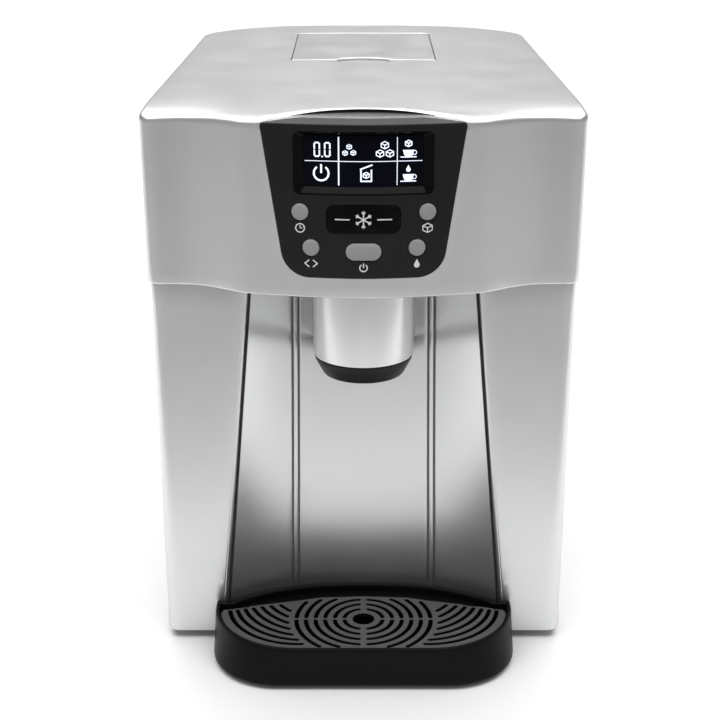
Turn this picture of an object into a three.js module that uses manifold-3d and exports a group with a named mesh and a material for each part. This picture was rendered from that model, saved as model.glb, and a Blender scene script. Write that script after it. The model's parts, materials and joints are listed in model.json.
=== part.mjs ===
// Countertop ice maker with a front dispenser: a shell on four feet, a head with a control panel,
// a drip tray in front, and the ice, water and cooling parts inside. Millimetres, +Z up, front -Y.
import * as THREE from "three";
import { mergeVertices } from "three/addons/utils/BufferGeometryUtils.js";
import Module from "manifold-3d";

const wasm = await Module();
wasm.setup();

// ---- Overall size ----
const HEAD_HALF = 146; // half the head's width
const REAR_HALF = 140.5; // the sides draw in a little towards the rear
const BODY_HALF = 144.4; // the lower body is just inside the head
const BODY_REAR_HALF = 139;
const FRONT_Y = -146; // front corner plane of the head
const REAR_Y = 213;
const BODY_FRONT_Y = -144;
const GAP = 0.3; // between pieces that touch

// ---- Heights ----
const PANEL_BOTTOM = 6;
const PAN_BOTTOM = 8;
const SEAM_Z = 273; // lower edge of the head
const EYEBROW_Z = 385; // where the head's walls meet the top cover
const CREST_FRONT = 2.6; // extra height at the middle of the front edge
const CORNER_RISE = 5.2; // the top climbs this much towards the rear corners
const CREST_RISE = 6.3; // and this much more along the middle
const FRONT_ROLL = { side: 4.4, middle: 2.5, length: 16 }; // how the front edge rolls over into the top

// ---- Head front, half plan: x, and y from the front corner plane ----
const BULGE = [
  [0, -33],
  [24.5, -31],
  [52, -26.8],
  [70, -22.6],
  [80, -19.6],
  [90, -13.5],
  [100, -7.2],
  [110, -2.6],
  [120, -0.4],
  [137, 0],
];
const FRONT_CORNER_R = 9;
const REAR_CORNER_R = 12;
const WALL = 3;
const SHEET = 1.6;

// ---- Dispensing bay ----
const BAY_HALF_TOP = 76.2; // half-width of the bay's mouth at the seam
const BAY_SPLAY = 0.0902; // how much it widens per millimetre downwards
const BAY_DEPTH = 28; // concave back wall, behind the body's front plane
const GROOVE_X = [46.3, 50.7];
const BAY_EDGE = 3.6; // chamfer along the bay's mouth
const SPOUT_Y = -142;
const SPOUT_R = 34.2;
const SPOUT_BOTTOM = 224;
const COLLAR_BOTTOM = 210.5;

// ---- Drip tray ----
const TRAY_HALF = 108;
const TRAY_LOW_R = 48; // its front corners at the bottom
const TRAY_HIGH_R = 61; // and at the rim
const TRAY_FRONT_Y = -213;
const GRILLE_BACK_Y = -130;
const TRAY_BOTTOM = 3;
const TRAY_TOP = 31;
const GRILLE_Y = -166; // centre of the ring pattern
const GRILLE_TOP = 29;
const RING_PITCH = 6.86;
const FIRST_RING = 13.8; // radius of the innermost slot's middle
const RINGS = 6;
const SLOT_WIDTH = 2.8;
const SPOKE_X = 0.8; // half-width of the grille's cross-bar
const SPOKE_Y = 1.8; // half-width of its front-to-back bar
const WAVE = { x: 45, y: -148, r: 52, stepX: 4.5, stepY: 5.25, count: 9 }; // slots either side of the rings

// ---- Controls ----
const FASCIA_TOP = 386.6;
const FASCIA_BOTTOM = 286.6;
const FASCIA_TOP_HALF = 65.4;
const FASCIA_LOW_HALF = 53.6;
const FASCIA_CORNER_R = 19;
const SCREEN = { half: 37.9, low: 346.2, high: 379 };
const RECESS = { half: 44.6, low: 341.4, high: 382 };
const BUTTON_R = 5.5;
const BUTTONS = [
  { name: "button_timer", x: -40.6, z: 330.2 },
  { name: "button_ice", x: 41, z: 330.2 },
  { name: "button_select", x: -33.8, z: 306.9 },
  { name: "button_water", x: 34.4, z: 306.9 },
];
const POWER_BUTTON = { name: "button_power", x: 0, z: 304.7, half: 11.5, high: 5.7 };
const BADGE = { half: 23.4, low: 317.2, high: 335 };

// ---- Fill door in the top ----
const DOOR_HALF = 55;
const DOOR_FRONT_Y = 38;
const DOOR_BACK_Y = 166.4;
const DOOR_GAP = 0.6;
const DOOR_THICK = 3.4;
const SCOOP = { behind: 89, r: 93, floor: 387 }; // finger scoop over the control panel

// ---- Inside ----
const BIN = { half: 100, front: -100, back: 24, top: 334, low: 250, wall: 3 };
const AUGER_Z = 279;
const AUGER_R = 23;
const TROUGH = { y: -30, z: 345, r: 27, half: 80, wall: 2.4 };
const TANK = { half: 62, wall: 2.5, top: 386 };
const FAN = { x: -66, y: 160, z: 92, r: 50 };
const COMPRESSOR = { x: 62, y: 116, r: 52 };

// ---- Colours ----
const SILVER = { color: 0xb9bbbd, roughness: 0.32, metalness: 0.75 };
const BLACK = { color: 0x17181a, roughness: 0.4, metalness: 0 };
const GREY = { color: 0x8b8d8f, roughness: 0.45, metalness: 0 };
const WHITE = { color: 0xe2e4e3, roughness: 0.5, metalness: 0 };
const STEEL = { color: 0xa7abad, roughness: 0.35, metalness: 0.9 };
const COPPER = { color: 0xb56f45, roughness: 0.35, metalness: 0.9 };
const GREEN = { color: 0x1e5a3a, roughness: 0.6, metalness: 0 };
const RUBBER = { color: 0x1c1c1c, roughness: 0.85, metalness: 0 };
const SCREEN_BLACK = { color: 0x0a0c16, roughness: 0.1, metalness: 0 };
const PAINTED_BLACK = { color: 0x1a1b1c, roughness: 0.5, metalness: 0.2 };

const root = new THREE.Group();
root.name = "ice_maker";

// ---- Solid helpers ----
function solid(geometry) {
  const g = geometry.clone();
  g.deleteAttribute("normal");
  g.deleteAttribute("uv");
  const m = mergeVertices(g, 1e-4);
  return new wasm.Manifold(
    new wasm.Mesh({
      numProp: 3,
      vertProperties: new Float32Array(m.attributes.position.array),
      triVerts: new Uint32Array(m.index.array),
    }),
  );
}

function geometryOf(manifold) {
  const m = manifold.getMesh();
  const g = new THREE.BufferGeometry();
  g.setAttribute("position", new THREE.BufferAttribute(new Float32Array(m.vertProperties), 3));
  g.setIndex(new THREE.BufferAttribute(new Uint32Array(m.triVerts), 1));
  g.computeVertexNormals();
  return g;
}

const join = (...parts) => parts.reduce((a, b) => a.add(b));
const cut = (from, ...tools) => tools.reduce((a, b) => a.subtract(b), from);

function add(name, manifold, look) {
  const mesh = new THREE.Mesh(geometryOf(manifold), new THREE.MeshStandardMaterial(look));
  mesh.name = name;
  root.add(mesh);
}

function box(x0, x1, y0, y1, z0, z1) {
  const g = new THREE.BoxGeometry(x1 - x0, y1 - y0, z1 - z0);
  g.translate((x0 + x1) / 2, (y0 + y1) / 2, (z0 + z1) / 2);
  return solid(g);
}

// A block of small cells, each corner moved to place(a, b, c) with a, b and c from 0 to 1.
function mapped(na, nb, nc, place) {
  const g = new THREE.BoxGeometry(1, 1, 1, na, nb, nc);
  const p = g.attributes.position;
  for (let i = 0; i < p.count; i++) {
    const [x, y, z] = place(p.getX(i) + 0.5, p.getY(i) + 0.5, p.getZ(i) + 0.5);
    p.setXYZ(i, x, y, z);
  }
  return solid(g);
}

function rod(axis, x, y, z, r, length, sides = 20) {
  const g = new THREE.CylinderGeometry(r, r, length, sides);
  if (axis === "z") g.rotateX(Math.PI / 2);
  if (axis === "x") g.rotateZ(Math.PI / 2);
  g.translate(x, y, z);
  return solid(g);
}

function lathe(profile, x, y, z, sides = 28) {
  const g = new THREE.LatheGeometry(profile.map(([r, h]) => new THREE.Vector2(r, h)), sides);
  g.rotateX(Math.PI / 2);
  g.translate(x, y, z);
  return solid(g);
}

function shapeOf(points) {
  return new THREE.Shape(points.map(([x, y]) => new THREE.Vector2(x, y)));
}

// Points in plan, pulled up from z0 to z1.
function prismZ(points, z0, z1) {
  const g = new THREE.ExtrudeGeometry(shapeOf(points), { depth: z1 - z0, bevelEnabled: false });
  g.translate(0, 0, z0);
  return solid(g);
}

// Points as (x, z), pulled back from y0 to y1.
function prismY(points, y0, y1) {
  const g = new THREE.ExtrudeGeometry(shapeOf(points), { depth: y1 - y0, bevelEnabled: false });
  g.rotateX(Math.PI / 2);
  g.translate(0, y1, 0);
  return solid(g);
}

// Points as (y, z), pulled from x0 to x1.
function prismX(points, x0, x1) {
  const g = new THREE.ExtrudeGeometry(shapeOf(points), { depth: x1 - x0, bevelEnabled: false });
  g.rotateX(Math.PI / 2);
  g.rotateZ(Math.PI / 2);
  g.translate(x0, 0, 0);
  return solid(g);
}

function tube(points, r, sides = 8, steps = 24) {
  const path = new THREE.CatmullRomCurve3(points.map((p) => new THREE.Vector3(...p)), false, "centripetal");
  const section = new THREE.Shape();
  for (let i = 0; i < sides; i++) {
    const a = (i / sides) * Math.PI * 2;
    if (i) section.lineTo(Math.cos(a) * r, Math.sin(a) * r);
    else section.moveTo(r, 0);
  }
  return solid(new THREE.ExtrudeGeometry(section, { extrudePath: path, steps, bevelEnabled: false }));
}

function arc(cx, cy, r, from, to, steps) {
  return Array.from({ length: steps + 1 }, (_, i) => {
    const a = ((from + ((to - from) * i) / steps) * Math.PI) / 180;
    return [cx + r * Math.cos(a), cy + r * Math.sin(a)];
  });
}

function roundedRect(x0, x1, y0, y1, r, steps = 4) {
  return [
    ...arc(x1 - r, y0 + r, r, -90, 0, steps),
    ...arc(x1 - r, y1 - r, r, 0, 90, steps),
    ...arc(x0 + r, y1 - r, r, 90, 180, steps),
    ...arc(x0 + r, y0 + r, r, 180, 270, steps),
  ];
}

// Moves a counter-clockwise outline inwards by d.
function inset(points, d) {
  const n = points.length;
  const normal = (a, b) => {
    const l = Math.hypot(b[0] - a[0], b[1] - a[1]);
    return [-(b[1] - a[1]) / l, (b[0] - a[0]) / l];
  };
  return points.map((p, i) => {
    const u = normal(points[(i + n - 1) % n], p);
    const v = normal(p, points[(i + 1) % n]);
    const k = d / (1 + u[0] * v[0] + u[1] * v[1]);
    return [p[0] + (u[0] + v[0]) * k, p[1] + (u[1] + v[1]) * k];
  });
}

const mirrored = (half) => [
  ...half,
  ...half
    .slice()
    .reverse()
    .filter(([x]) => Math.abs(x) > 1e-6)
    .map(([x, y]) => [-x, y]),
];

// ---- Outlines in plan ----
const headCurve = new THREE.SplineCurve(BULGE.map(([x, y]) => new THREE.Vector2(x, y + FRONT_Y)));

function frontY(x) {
  const ax = Math.min(Math.abs(x), HEAD_HALF);
  const i = Math.max(1, BULGE.findIndex(([bx]) => bx >= ax));
  if (ax >= BULGE[BULGE.length - 1][0]) return FRONT_Y;
  let low = (i - 1) / (BULGE.length - 1);
  let high = i / (BULGE.length - 1);
  for (let k = 0; k < 18; k++) {
    const mid = (low + high) / 2;
    if (headCurve.getPoint(mid).x < ax) low = mid;
    else high = mid;
  }
  return headCurve.getPoint(low).y;
}

function headOutline() {
  const front = Array.from({ length: 17 }, (_, i) => [(i * 137) / 16, frontY((i * 137) / 16)]);
  return mirrored([
    ...front,
    ...arc(HEAD_HALF - FRONT_CORNER_R, FRONT_Y + FRONT_CORNER_R, FRONT_CORNER_R, -90, 0, 5).slice(1),
    ...arc(REAR_HALF - REAR_CORNER_R, REAR_Y - REAR_CORNER_R, REAR_CORNER_R, 0, 90, 4),
    [0, REAR_Y],
  ]);
}

function bodyOutline() {
  return mirrored([
    [0, BODY_FRONT_Y],
    ...arc(BODY_HALF - FRONT_CORNER_R, BODY_FRONT_Y + FRONT_CORNER_R, FRONT_CORNER_R, -90, 0, 5),
    ...arc(BODY_REAR_HALF - REAR_CORNER_R, REAR_Y - REAR_CORNER_R, REAR_CORNER_R, 0, 90, 4),
    [0, REAR_Y],
  ]);
}

// Height of the crowned top.
function crown(x, y) {
  const q = 1 - Math.min(1, Math.abs(x) / HEAD_HALF) ** 3.4;
  const s = Math.min(1, Math.max(0, (y - FRONT_Y) / (REAR_Y - FRONT_Y)));
  const roll = 1 - Math.exp(-Math.max(0, y - frontY(x)) / FRONT_ROLL.length);
  const height = FRONT_ROLL.side + (FRONT_ROLL.middle - FRONT_ROLL.side) * q * (1 - s);
  return EYEBROW_Z + height * roll + CORNER_RISE * s + q * (CREST_FRONT + CREST_RISE * s);
}

// A block under the crowned top, its upper face lowered by drop. Its rows are closest at the front.
function underCrown(x0, x1, y0, y1, z0, drop, nx = 14, ny = 12) {
  return mapped(nx, ny, 1, (a, b, c) => {
    const x = x0 + (x1 - x0) * a;
    const y = y0 + (y1 - y0) * b ** 1.8;
    return [x, y, c > 0.5 ? crown(x, y) - drop : z0];
  });
}

// A curved slab that follows the head's front from depth d0 to depth d1, cut to an (x, z) outline.
function onFront(points, d0, d1) {
  const slab = mapped(16, 1, 1, (a, b, c) => {
    const x = -78 + 156 * a;
    return [x, frontY(x) + (b > 0.5 ? d1 : d0), c > 0.5 ? 400 : 270];
  });
  return slab.intersect(prismY(points, FRONT_Y - 60, FRONT_Y + 60));
}

const bayHalf = (z) => BAY_HALF_TOP + (SEAM_Z - z) * BAY_SPLAY;
const bayY = (u) => BODY_FRONT_Y + BAY_DEPTH * (1 - Math.abs(u) ** 2.6);

// ---- Shell ----
function basePan() {
  const outline = inset(bodyOutline(), SHEET + GAP + 0.4);
  const tray = prismZ(outline, PAN_BOTTOM, 24);
  const hollow = prismZ(inset(outline, 2), PAN_BOTTOM + 2.5, 30);
  const bay = box(-104, 104, -160, -112, 0, 40);
  const wall = box(-106, 106, -112, -110, PAN_BOTTOM + 1, 24);
  const holes = [-1, 1].map((s) => rod("z", s * 100, 160, 9, 3, 8, 12));
  const drain = box(16, 44, 197, 220, PAN_BOTTOM + 2.5, 40);
  return cut(join(cut(tray, hollow, bay, ...holes), wall), drain);
}

function foot() {
  return [
    [0, 0],
    [9, 0],
    [11, 1.5],
    [11, 5],
    [9, PAN_BOTTOM - GAP],
    [0, PAN_BOTTOM - GAP],
  ];
}

function addFeet() {
  for (const [name, x, y] of [
    ["foot_front_left", -124, -118],
    ["foot_front_right", 124, -118],
    ["foot_rear_left", -118, 188],
    ["foot_rear_right", 118, 188],
  ]) {
    add(name, lathe(foot(), x, y, 0, 20), RUBBER);
  }
}

function bodySkin() {
  const outline = bodyOutline();
  return cut(
    prismZ(outline, PANEL_BOTTOM, SEAM_Z - GAP),
    prismZ(inset(outline, SHEET), 0, SEAM_Z + 5),
  );
}

function lowerFront() {
  const skin = bodySkin().intersect(box(0, 160, -150, -129, 0, SEAM_Z));
  const edge = [
    [-1, PANEL_BOTTOM - 1],
    [bayHalf(PANEL_BOTTOM - 1), PANEL_BOTTOM - 1],
    [bayHalf(SEAM_Z), SEAM_Z],
    [-1, SEAM_Z],
  ];
  const post = [
    [bayHalf(PANEL_BOTTOM), PANEL_BOTTOM],
    [bayHalf(PANEL_BOTTOM) + 3, PANEL_BOTTOM],
    [BAY_HALF_TOP + 3, SEAM_Z - GAP],
    [BAY_HALF_TOP, SEAM_Z - GAP],
  ];
  const bevel = mapped(1, 1, 1, (a, b, c) => {
    const z = c > 0.5 ? SEAM_Z + 5 : PANEL_BOTTOM - 5;
    const x = bayHalf(z) - 1 + (BAY_EDGE + 2) * a;
    return [x, b > 0.5 ? BODY_FRONT_Y + 2.6 - (a > 0.5 ? BAY_EDGE : -0.8) : BODY_FRONT_Y - 5, z];
  });
  return cut(join(cut(skin, prismY(edge, -150, -120)), prismY(post, BODY_FRONT_Y, -136)), bevel);
}

function sidePanel() {
  const skin = bodySkin().intersect(box(0, 160, -129 + GAP, 197, 0, SEAM_Z));
  const slots = [];
  for (let row = 0; row < 8; row++) {
    const z = 62 + row * 11;
    slots.push(box(130, 150, 70, 112, z, z + 4));
    slots.push(box(130, 150, 122, 164, z, z + 4));
  }
  return cut(skin, ...slots);
}

// Turns a mirrored triangle list the right way out again.
function mirrorX(manifold) {
  const m = manifold.getMesh();
  const position = new Float32Array(m.vertProperties);
  for (let i = 0; i < position.length; i += 3) position[i] *= -1;
  const index = new Uint32Array(m.triVerts);
  for (let i = 0; i < index.length; i += 3) [index[i], index[i + 1]] = [index[i + 1], index[i]];
  return new wasm.Manifold(new wasm.Mesh({ numProp: 3, vertProperties: position, triVerts: index }));
}

function rearPanel() {
  const skin = bodySkin().intersect(box(-160, 160, 197 + GAP, 230, 0, SEAM_Z));
  const slots = [];
  for (let row = 0; row < 9; row++) {
    const z = 52 + row * 10;
    slots.push(box(FAN.x - 44, FAN.x - 3, 200, 230, z, z + 4));
    slots.push(box(FAN.x + 3, FAN.x + 44, 200, 230, z, z + 4));
  }
  const ports = [box(75, 105, 200, 230, 40, 62), rod("y", 30, 210, 22, 8.3, 30, 20)];
  return cut(skin, ...slots, ...ports);
}

function recessLiner() {
  const wall = mapped(20, 1, 1, (a, b, c) => {
    const z = PANEL_BOTTOM + (SEAM_Z - GAP - PANEL_BOTTOM) * c;
    const u = 2 * a - 1;
    return [u * (bayHalf(z) - GAP), bayY(u) + 0.4 + 2.4 * b, z];
  });
  const spout = rod("z", 0, SPOUT_Y, COLLAR_BOTTOM + 44, SPOUT_R + 0.5, 90, 40);
  const duct = box(-27.5, 27.5, -150, -100, 256, SEAM_Z + 5);
  const grooves = [];
  for (const s of [-1, 1]) {
    for (const x of GROOVE_X) {
      grooves.push(box(s * x - 0.5, s * x + 0.5, -130, bayY(x / 90) + 1.2, TRAY_TOP + 3, SEAM_Z + 1));
    }
  }
  return cut(wall, spout, duct, ...grooves);
}

function headShell() {
  const outline = headOutline();
  const walls = cut(
    prismZ(outline, SEAM_Z, EYEBROW_Z - GAP),
    prismZ(inset(outline, WALL), SEAM_Z - 5, EYEBROW_Z + 5),
  );
  return cut(walls, onFront(fasciaOutline(-GAP), -6, 12));
}

function headFloor() {
  const inside = inset(headOutline(), WALL + GAP);
  const plate = prismZ(inside, SEAM_Z + GAP, SEAM_Z + 2.3).intersect(box(-160, 160, -190, -119, 0, 400));
  const mouth = rod("z", 0, SPOUT_Y, SEAM_Z, 29.5, 20, 28);
  const duct = box(-27.4, 27.4, SPOUT_Y, -90, 256.6, 290);
  return cut(plate, mouth, duct);
}

function topCover() {
  const outline = headOutline();
  const outer = underCrown(-150, 150, -184, 218, EYEBROW_Z, 0).intersect(prismZ(outline, 380, 410));
  const inner = underCrown(-150, 150, -184, 218, EYEBROW_Z - 4, WALL).intersect(
    prismZ(inset(outline, WALL), 370, 410),
  );
  const thickFront = box(-76, 76, -190, -122, 370, 400);
  const z = crown(0, DOOR_FRONT_Y);
  const dishBlock = box(-38, 38, 12, DOOR_FRONT_Y - DOOR_GAP, z - 9, z - 2);
  const zh = hingeZ();
  const yh = hingeY();
  const bosses = [-1, 1].map((s) => box(s * 58.5 - 3.5, s * 58.5 + 3.5, yh - 8, yh + 8, zh - 7, zh + 1));
  const opening = box(
    -DOOR_HALF - DOOR_GAP,
    DOOR_HALF + DOOR_GAP,
    DOOR_FRONT_Y - DOOR_GAP,
    DOOR_BACK_Y + DOOR_GAP,
    370,
    420,
  );
  const dish = new THREE.SphereGeometry(1, 24, 12);
  dish.scale(33, 18, 8);
  dish.translate(0, DOOR_FRONT_Y, z + 2.6);
  const scoop = rod("z", 0, FRONT_Y - SCOOP.behind, SCOOP.floor + 10, SCOOP.r, 20, 64);
  const pins = rod("x", 0, hingeY(), zh, 1.4, 121, 12);
  const shell = join(cut(outer, cut(inner, thickFront)), dishBlock, ...bosses);
  return cut(shell, opening, solid(dish), scoop, pins, onFront(fasciaOutline(-GAP), -6, 12));
}

const hingeY = () => DOOR_BACK_Y - 1.7;
const hingeZ = () => crown(0, DOOR_BACK_Y) - DOOR_THICK / 2 - 0.2;

function fillDoor() {
  const zh = hingeZ();
  const slab = underCrown(-DOOR_HALF, DOOR_HALF, DOOR_FRONT_Y, hingeY(), 380, 0.1, 4, 4);
  const below = underCrown(-90, 90, 0, 200, 370, DOOR_THICK, 6, 5);
  const plate = cut(slab, below);
  const barrel = rod("x", 0, hingeY(), zh, 1.7, 2 * DOOR_HALF, 14);
  const pins = rod("x", 0, hingeY(), zh, 1.05, 116.4, 12);
  const z = crown(0, DOOR_FRONT_Y);
  const rib = cut(box(-48, 48, 54, 158, z - 6, z - 1), box(-46, 46, 56, 156, z - 8, z - 2));
  const notch = new THREE.CylinderGeometry(1, 1, 20, 32);
  notch.rotateX(Math.PI / 2);
  notch.scale(20, 9, 1);
  notch.translate(0, DOOR_FRONT_Y, z);
  return cut(join(plate, barrel, pins, rib), solid(notch));
}

// ---- Controls ----
function fasciaOutline(d) {
  const corner = arc(
    FASCIA_LOW_HALF - FASCIA_CORNER_R,
    FASCIA_BOTTOM + FASCIA_CORNER_R,
    FASCIA_CORNER_R,
    -90,
    -8.4,
    7,
  );
  const half = [
    [0, FASCIA_BOTTOM],
    ...corner,
    [FASCIA_TOP_HALF, FASCIA_TOP - 3],
    [FASCIA_TOP_HALF - 1.5, FASCIA_TOP],
  ];
  return inset(mirrored(half), d);
}

const screenWindow = (d) =>
  roundedRect(-SCREEN.half + d, SCREEN.half - d, SCREEN.low + d, SCREEN.high - d, 1.5, 3);

function controlFascia() {
  const panel = onFront(fasciaOutline(0), -0.7, 2.6);
  const frame = onFront(roundedRect(-49, 49, 338.5, 384.2, 6), 1, 6.2);
  const bevel = mapped(10, 3, 1, (a, b, c) => {
    const depth = -2 + 5.4 * b;
    const k = Math.min(1, Math.max(0, (depth + 0.7) / 4.1));
    const half = RECESS.half + (SCREEN.half - RECESS.half) * k;
    const low = RECESS.low + (SCREEN.low - RECESS.low) * k;
    const high = RECESS.high + (SCREEN.high - RECESS.high) * k;
    const x = half * (2 * a - 1);
    return [x, frontY(x) + depth, c > 0.5 ? high : low];
  });
  const holes = BUTTONS.map((b) => rod("y", b.x, FRONT_Y - 25, b.z, BUTTON_R + GAP, 40, 28));
  const p = POWER_BUTTON;
  const wide = p.half + GAP;
  const tall = p.high + GAP;
  const oval = prismY(roundedRect(p.x - wide, p.x + wide, p.z - tall, p.z + tall, 6, 7), -200, -140);
  const badge = roundedRect(-BADGE.half - GAP, BADGE.half + GAP, BADGE.low - GAP, BADGE.high + GAP, 5);
  const seat = onFront(badge, -3, 0.3);
  const window = prismY(screenWindow(-GAP), -200, -140);
  return cut(join(panel, frame), bevel, window, ...holes, oval, seat);
}

// A key cap flush with the curved panel, with a flange behind it that keeps it in.
function keyCap(face, flange, x, z) {
  const stem = rod("y", x, frontY(x) + 8.2, z, 2.2, 4.2, 10);
  return join(onFront(face, -1.2, 5.4), onFront(flange, 4.4, 6.2), stem);
}

function addButtons() {
  for (const b of BUTTONS) {
    const face = arc(b.x, b.z, BUTTON_R, 0, 340, 17);
    const flange = arc(b.x, b.z, BUTTON_R + 1.6, 0, 315, 7);
    add(b.name, keyCap(face, flange, b.x, b.z), GREY);
  }
  const p = POWER_BUTTON;
  const face = roundedRect(p.x - p.half, p.x + p.half, p.z - p.high, p.z + p.high, p.high - 0.05, 6);
  const flange = roundedRect(p.x - 13, p.x + 13, p.z - 7.2, p.z + 7.2, 5, 3);
  add(p.name, keyCap(face, flange, p.x, p.z), GREY);
}

function controlBoard() {
  const board = box(-56, 56, -158, -156.4, 298, 380);
  const parts = [
    box(-50, -34, -156.6, -148, 350, 372),
    box(-20, 6, -156.6, -150, 340, 352),
    box(20, 48, -156.6, -146, 320, 334),
    box(-44, -30, -156.6, -152, 308, 322),
    rod("y", 30, -151, 360, 5, 12, 12),
    rod("y", 42, -151, 360, 5, 12, 12),
  ];
  return join(board, ...parts);
}

function displayModule() {
  const body = onFront(roundedRect(-40, 40, 343, 381, 2, 2), 6.6, 10);
  return join(body, box(-30, 30, -170, -158.3, 350, 352.5));
}

// ---- Spout ----
function spoutShroud() {
  const top = SEAM_Z - GAP;
  const drum = rod("z", 0, SPOUT_Y, (SPOUT_BOTTOM + top) / 2, SPOUT_R, top - SPOUT_BOTTOM, 40);
  const skirt = mirrored([
    [0, -121.9],
    [42, -121.9],
    [38.4, -127],
    [35.6, -134],
    [34, SPOUT_Y],
    [0, SPOUT_Y],
  ]);
  const ears = prismZ(skirt, 228, top);
  const duct = box(-27.4, 27.4, SPOUT_Y, -90, 256.6, 290);
  const bore = rod("z", 0, SPOUT_Y, 250, 31, 80, 36);
  return cut(join(drum, ears), bore, duct);
}

function spoutCollar() {
  const top = SPOUT_BOTTOM - GAP;
  return lathe(
    [
      [25, top],
      [22, COLLAR_BOTTOM],
      [27, COLLAR_BOTTOM],
      [32.6, top - 4],
      [33.6, top],
      [25, top],
    ],
    0,
    SPOUT_Y,
    0,
    40,
  );
}

// ---- Drip tray and grille ----
function trayOutline(front, half, r) {
  const back = [90, 75, 60, 45, 30, 15, 0].map((x) => [x, bayY(x / bayHalf(TRAY_TOP)) - 1.2]);
  return mirrored([
    [0, front],
    ...arc(half - r, front + r, r, -90, 0, 12),
    [half, -144.6],
    [half - 11.5, -144.6],
    ...back,
  ]);
}

function grilleOutline(d) {
  const front = TRAY_FRONT_Y + 2.6;
  const half = TRAY_HALF - 0.8;
  const outline = mirrored([
    [0, front],
    ...arc(half - TRAY_HIGH_R, front + TRAY_HIGH_R, TRAY_HIGH_R, -90, -8, 12),
    [half - 3, -150],
    [75, GRILLE_BACK_Y - 12.5],
    [47, GRILLE_BACK_Y - 6],
    [33, GRILLE_BACK_Y - 2],
    [0, GRILLE_BACK_Y],
  ]);
  return inset(outline, d);
}

// A solid that passes from one outline to another that has as many points.
function loft(low, high, z0, z1) {
  const geometry = new THREE.ExtrudeGeometry(shapeOf(low), { depth: z1 - z0, bevelEnabled: false });
  const p = geometry.getAttribute("position");
  for (let i = 0; i < p.count; i++) {
    const k = low.findIndex(([x, y]) => Math.hypot(x - p.getX(i), y - p.getY(i)) < 1e-3);
    const up = p.getZ(i) > 0;
    const [x, y] = (up ? high : low)[k];
    p.setXYZ(i, x, y, up ? z1 : z0);
  }
  return solid(geometry);
}

function dripTray() {
  const low = trayOutline(TRAY_FRONT_Y, TRAY_HALF, TRAY_LOW_R);
  const high = trayOutline(TRAY_FRONT_Y + 2.6, TRAY_HALF - 0.8, TRAY_HIGH_R);
  const foot = loft(inset(low, 0.8), low, TRAY_BOTTOM, TRAY_BOTTOM + 1.2);
  const side = loft(low, high, TRAY_BOTTOM + 1.2, TRAY_TOP - 1);
  const rim = loft(high, inset(high, 0.7), TRAY_TOP - 1, TRAY_TOP);
  const seat = prismZ(grilleOutline(3.2), GRILLE_TOP - 3.4, TRAY_TOP + 1);
  const well = prismZ(grilleOutline(6), TRAY_BOTTOM + 2, TRAY_TOP + 1);
  const ledge = prismZ(inset(high, 2), GRILLE_TOP - 4, TRAY_TOP + 1).intersect(
    box(-88, 88, GRILLE_BACK_Y - 12, -100, 0, 50),
  );
  return cut(join(foot, side, rim), seat, well, ledge);
}

// An upright cutter for a slot that follows an arc of the given middle radius.
function arcSlot(cx, cy, mid, from, to, steps) {
  const outer = arc(cx, cy, mid + SLOT_WIDTH / 2, from, to, steps);
  const inner = arc(cx, cy, mid - SLOT_WIDTH / 2, to, from, steps);
  return prismZ([...outer, ...inner], 20, 40);
}

// The rings round the grille's middle, broken by a cross of bars.
function ringSlots() {
  const slots = [rod("z", 0, GRILLE_Y, 30, 7.8, 20, 24)];
  for (let ring = 0; ring < RINGS; ring++) {
    const mid = FIRST_RING + ring * RING_PITCH;
    const bar = THREE.MathUtils.radToDeg(Math.asin(SPOKE_X / mid));
    const post = THREE.MathUtils.radToDeg(Math.asin(SPOKE_Y / mid));
    const steps = ring < 3 ? 4 : 6;
    for (const turn of [0, 180]) {
      slots.push(arcSlot(0, GRILLE_Y, mid, turn + bar, turn + 90 - post, steps));
      slots.push(arcSlot(0, GRILLE_Y, mid, turn + 90 + post, turn + 180 - bar, steps));
    }
  }
  return slots;
}

// The slots that sweep from the rings out to the tray's corners.
function waveSlots() {
  const slots = [];
  for (let i = 0; i < WAVE.count; i++) {
    const x = WAVE.x - i * WAVE.stepX;
    const y = WAVE.y + i * WAVE.stepY;
    slots.push(arcSlot(x, y, WAVE.r, -96, -8, 6), arcSlot(-x, y, WAVE.r, 188, 276, 6));
  }
  const hub = rod("z", 0, GRILLE_Y, 30, FIRST_RING + RINGS * RING_PITCH - 2.2, 30, 40);
  return slots.map((slot) => cut(slot, hub));
}

function dripGrille() {
  const edge = grilleOutline(3.2 + GAP);
  const plate = prismZ(edge, GRILLE_TOP - 3, GRILLE_TOP);
  const field = prismZ(inset(edge, 2.2), 20, 40);
  return cut(plate, join(...ringSlots(), ...waveSlots()).intersect(field));
}

// ---- Ice making ----
function binOutline(d) {
  return inset(
    [
      [-34, BIN.low],
      [34, BIN.low],
      [BIN.half, 286],
      [BIN.half, BIN.top + (d > 0 ? 10 : 0)],
      [-BIN.half, BIN.top + (d > 0 ? 10 : 0)],
      [-BIN.half, 286],
    ],
    d,
  );
}

function iceBin() {
  const hollow = prismY(binOutline(BIN.wall), BIN.front + BIN.wall, BIN.back - BIN.wall);
  const mouth = box(-24, 24, BIN.front - 2, BIN.front + 6, 260, 296);
  const bore = rod("y", 0, BIN.back, AUGER_Z, 5.6, 20, 16);
  return cut(prismY(binOutline(0), BIN.front, BIN.back), hollow, mouth, bore);
}

function auger() {
  const start = BIN.front + 6;
  const length = 104;
  const turns = 3;
  const blade = mapped(36, 1, 1, (a, b, c) => {
    const angle = a * turns * 2 * Math.PI;
    const r = c > 0.5 ? AUGER_R : 3.5;
    return [r * Math.cos(angle), start + a * length + 2.4 * b, AUGER_Z - r * Math.sin(angle)];
  });
  const shaft = rod("y", 0, (start + 25.8) / 2, AUGER_Z, 5, 25.8 - start, 16);
  return join(blade, shaft);
}

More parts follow.
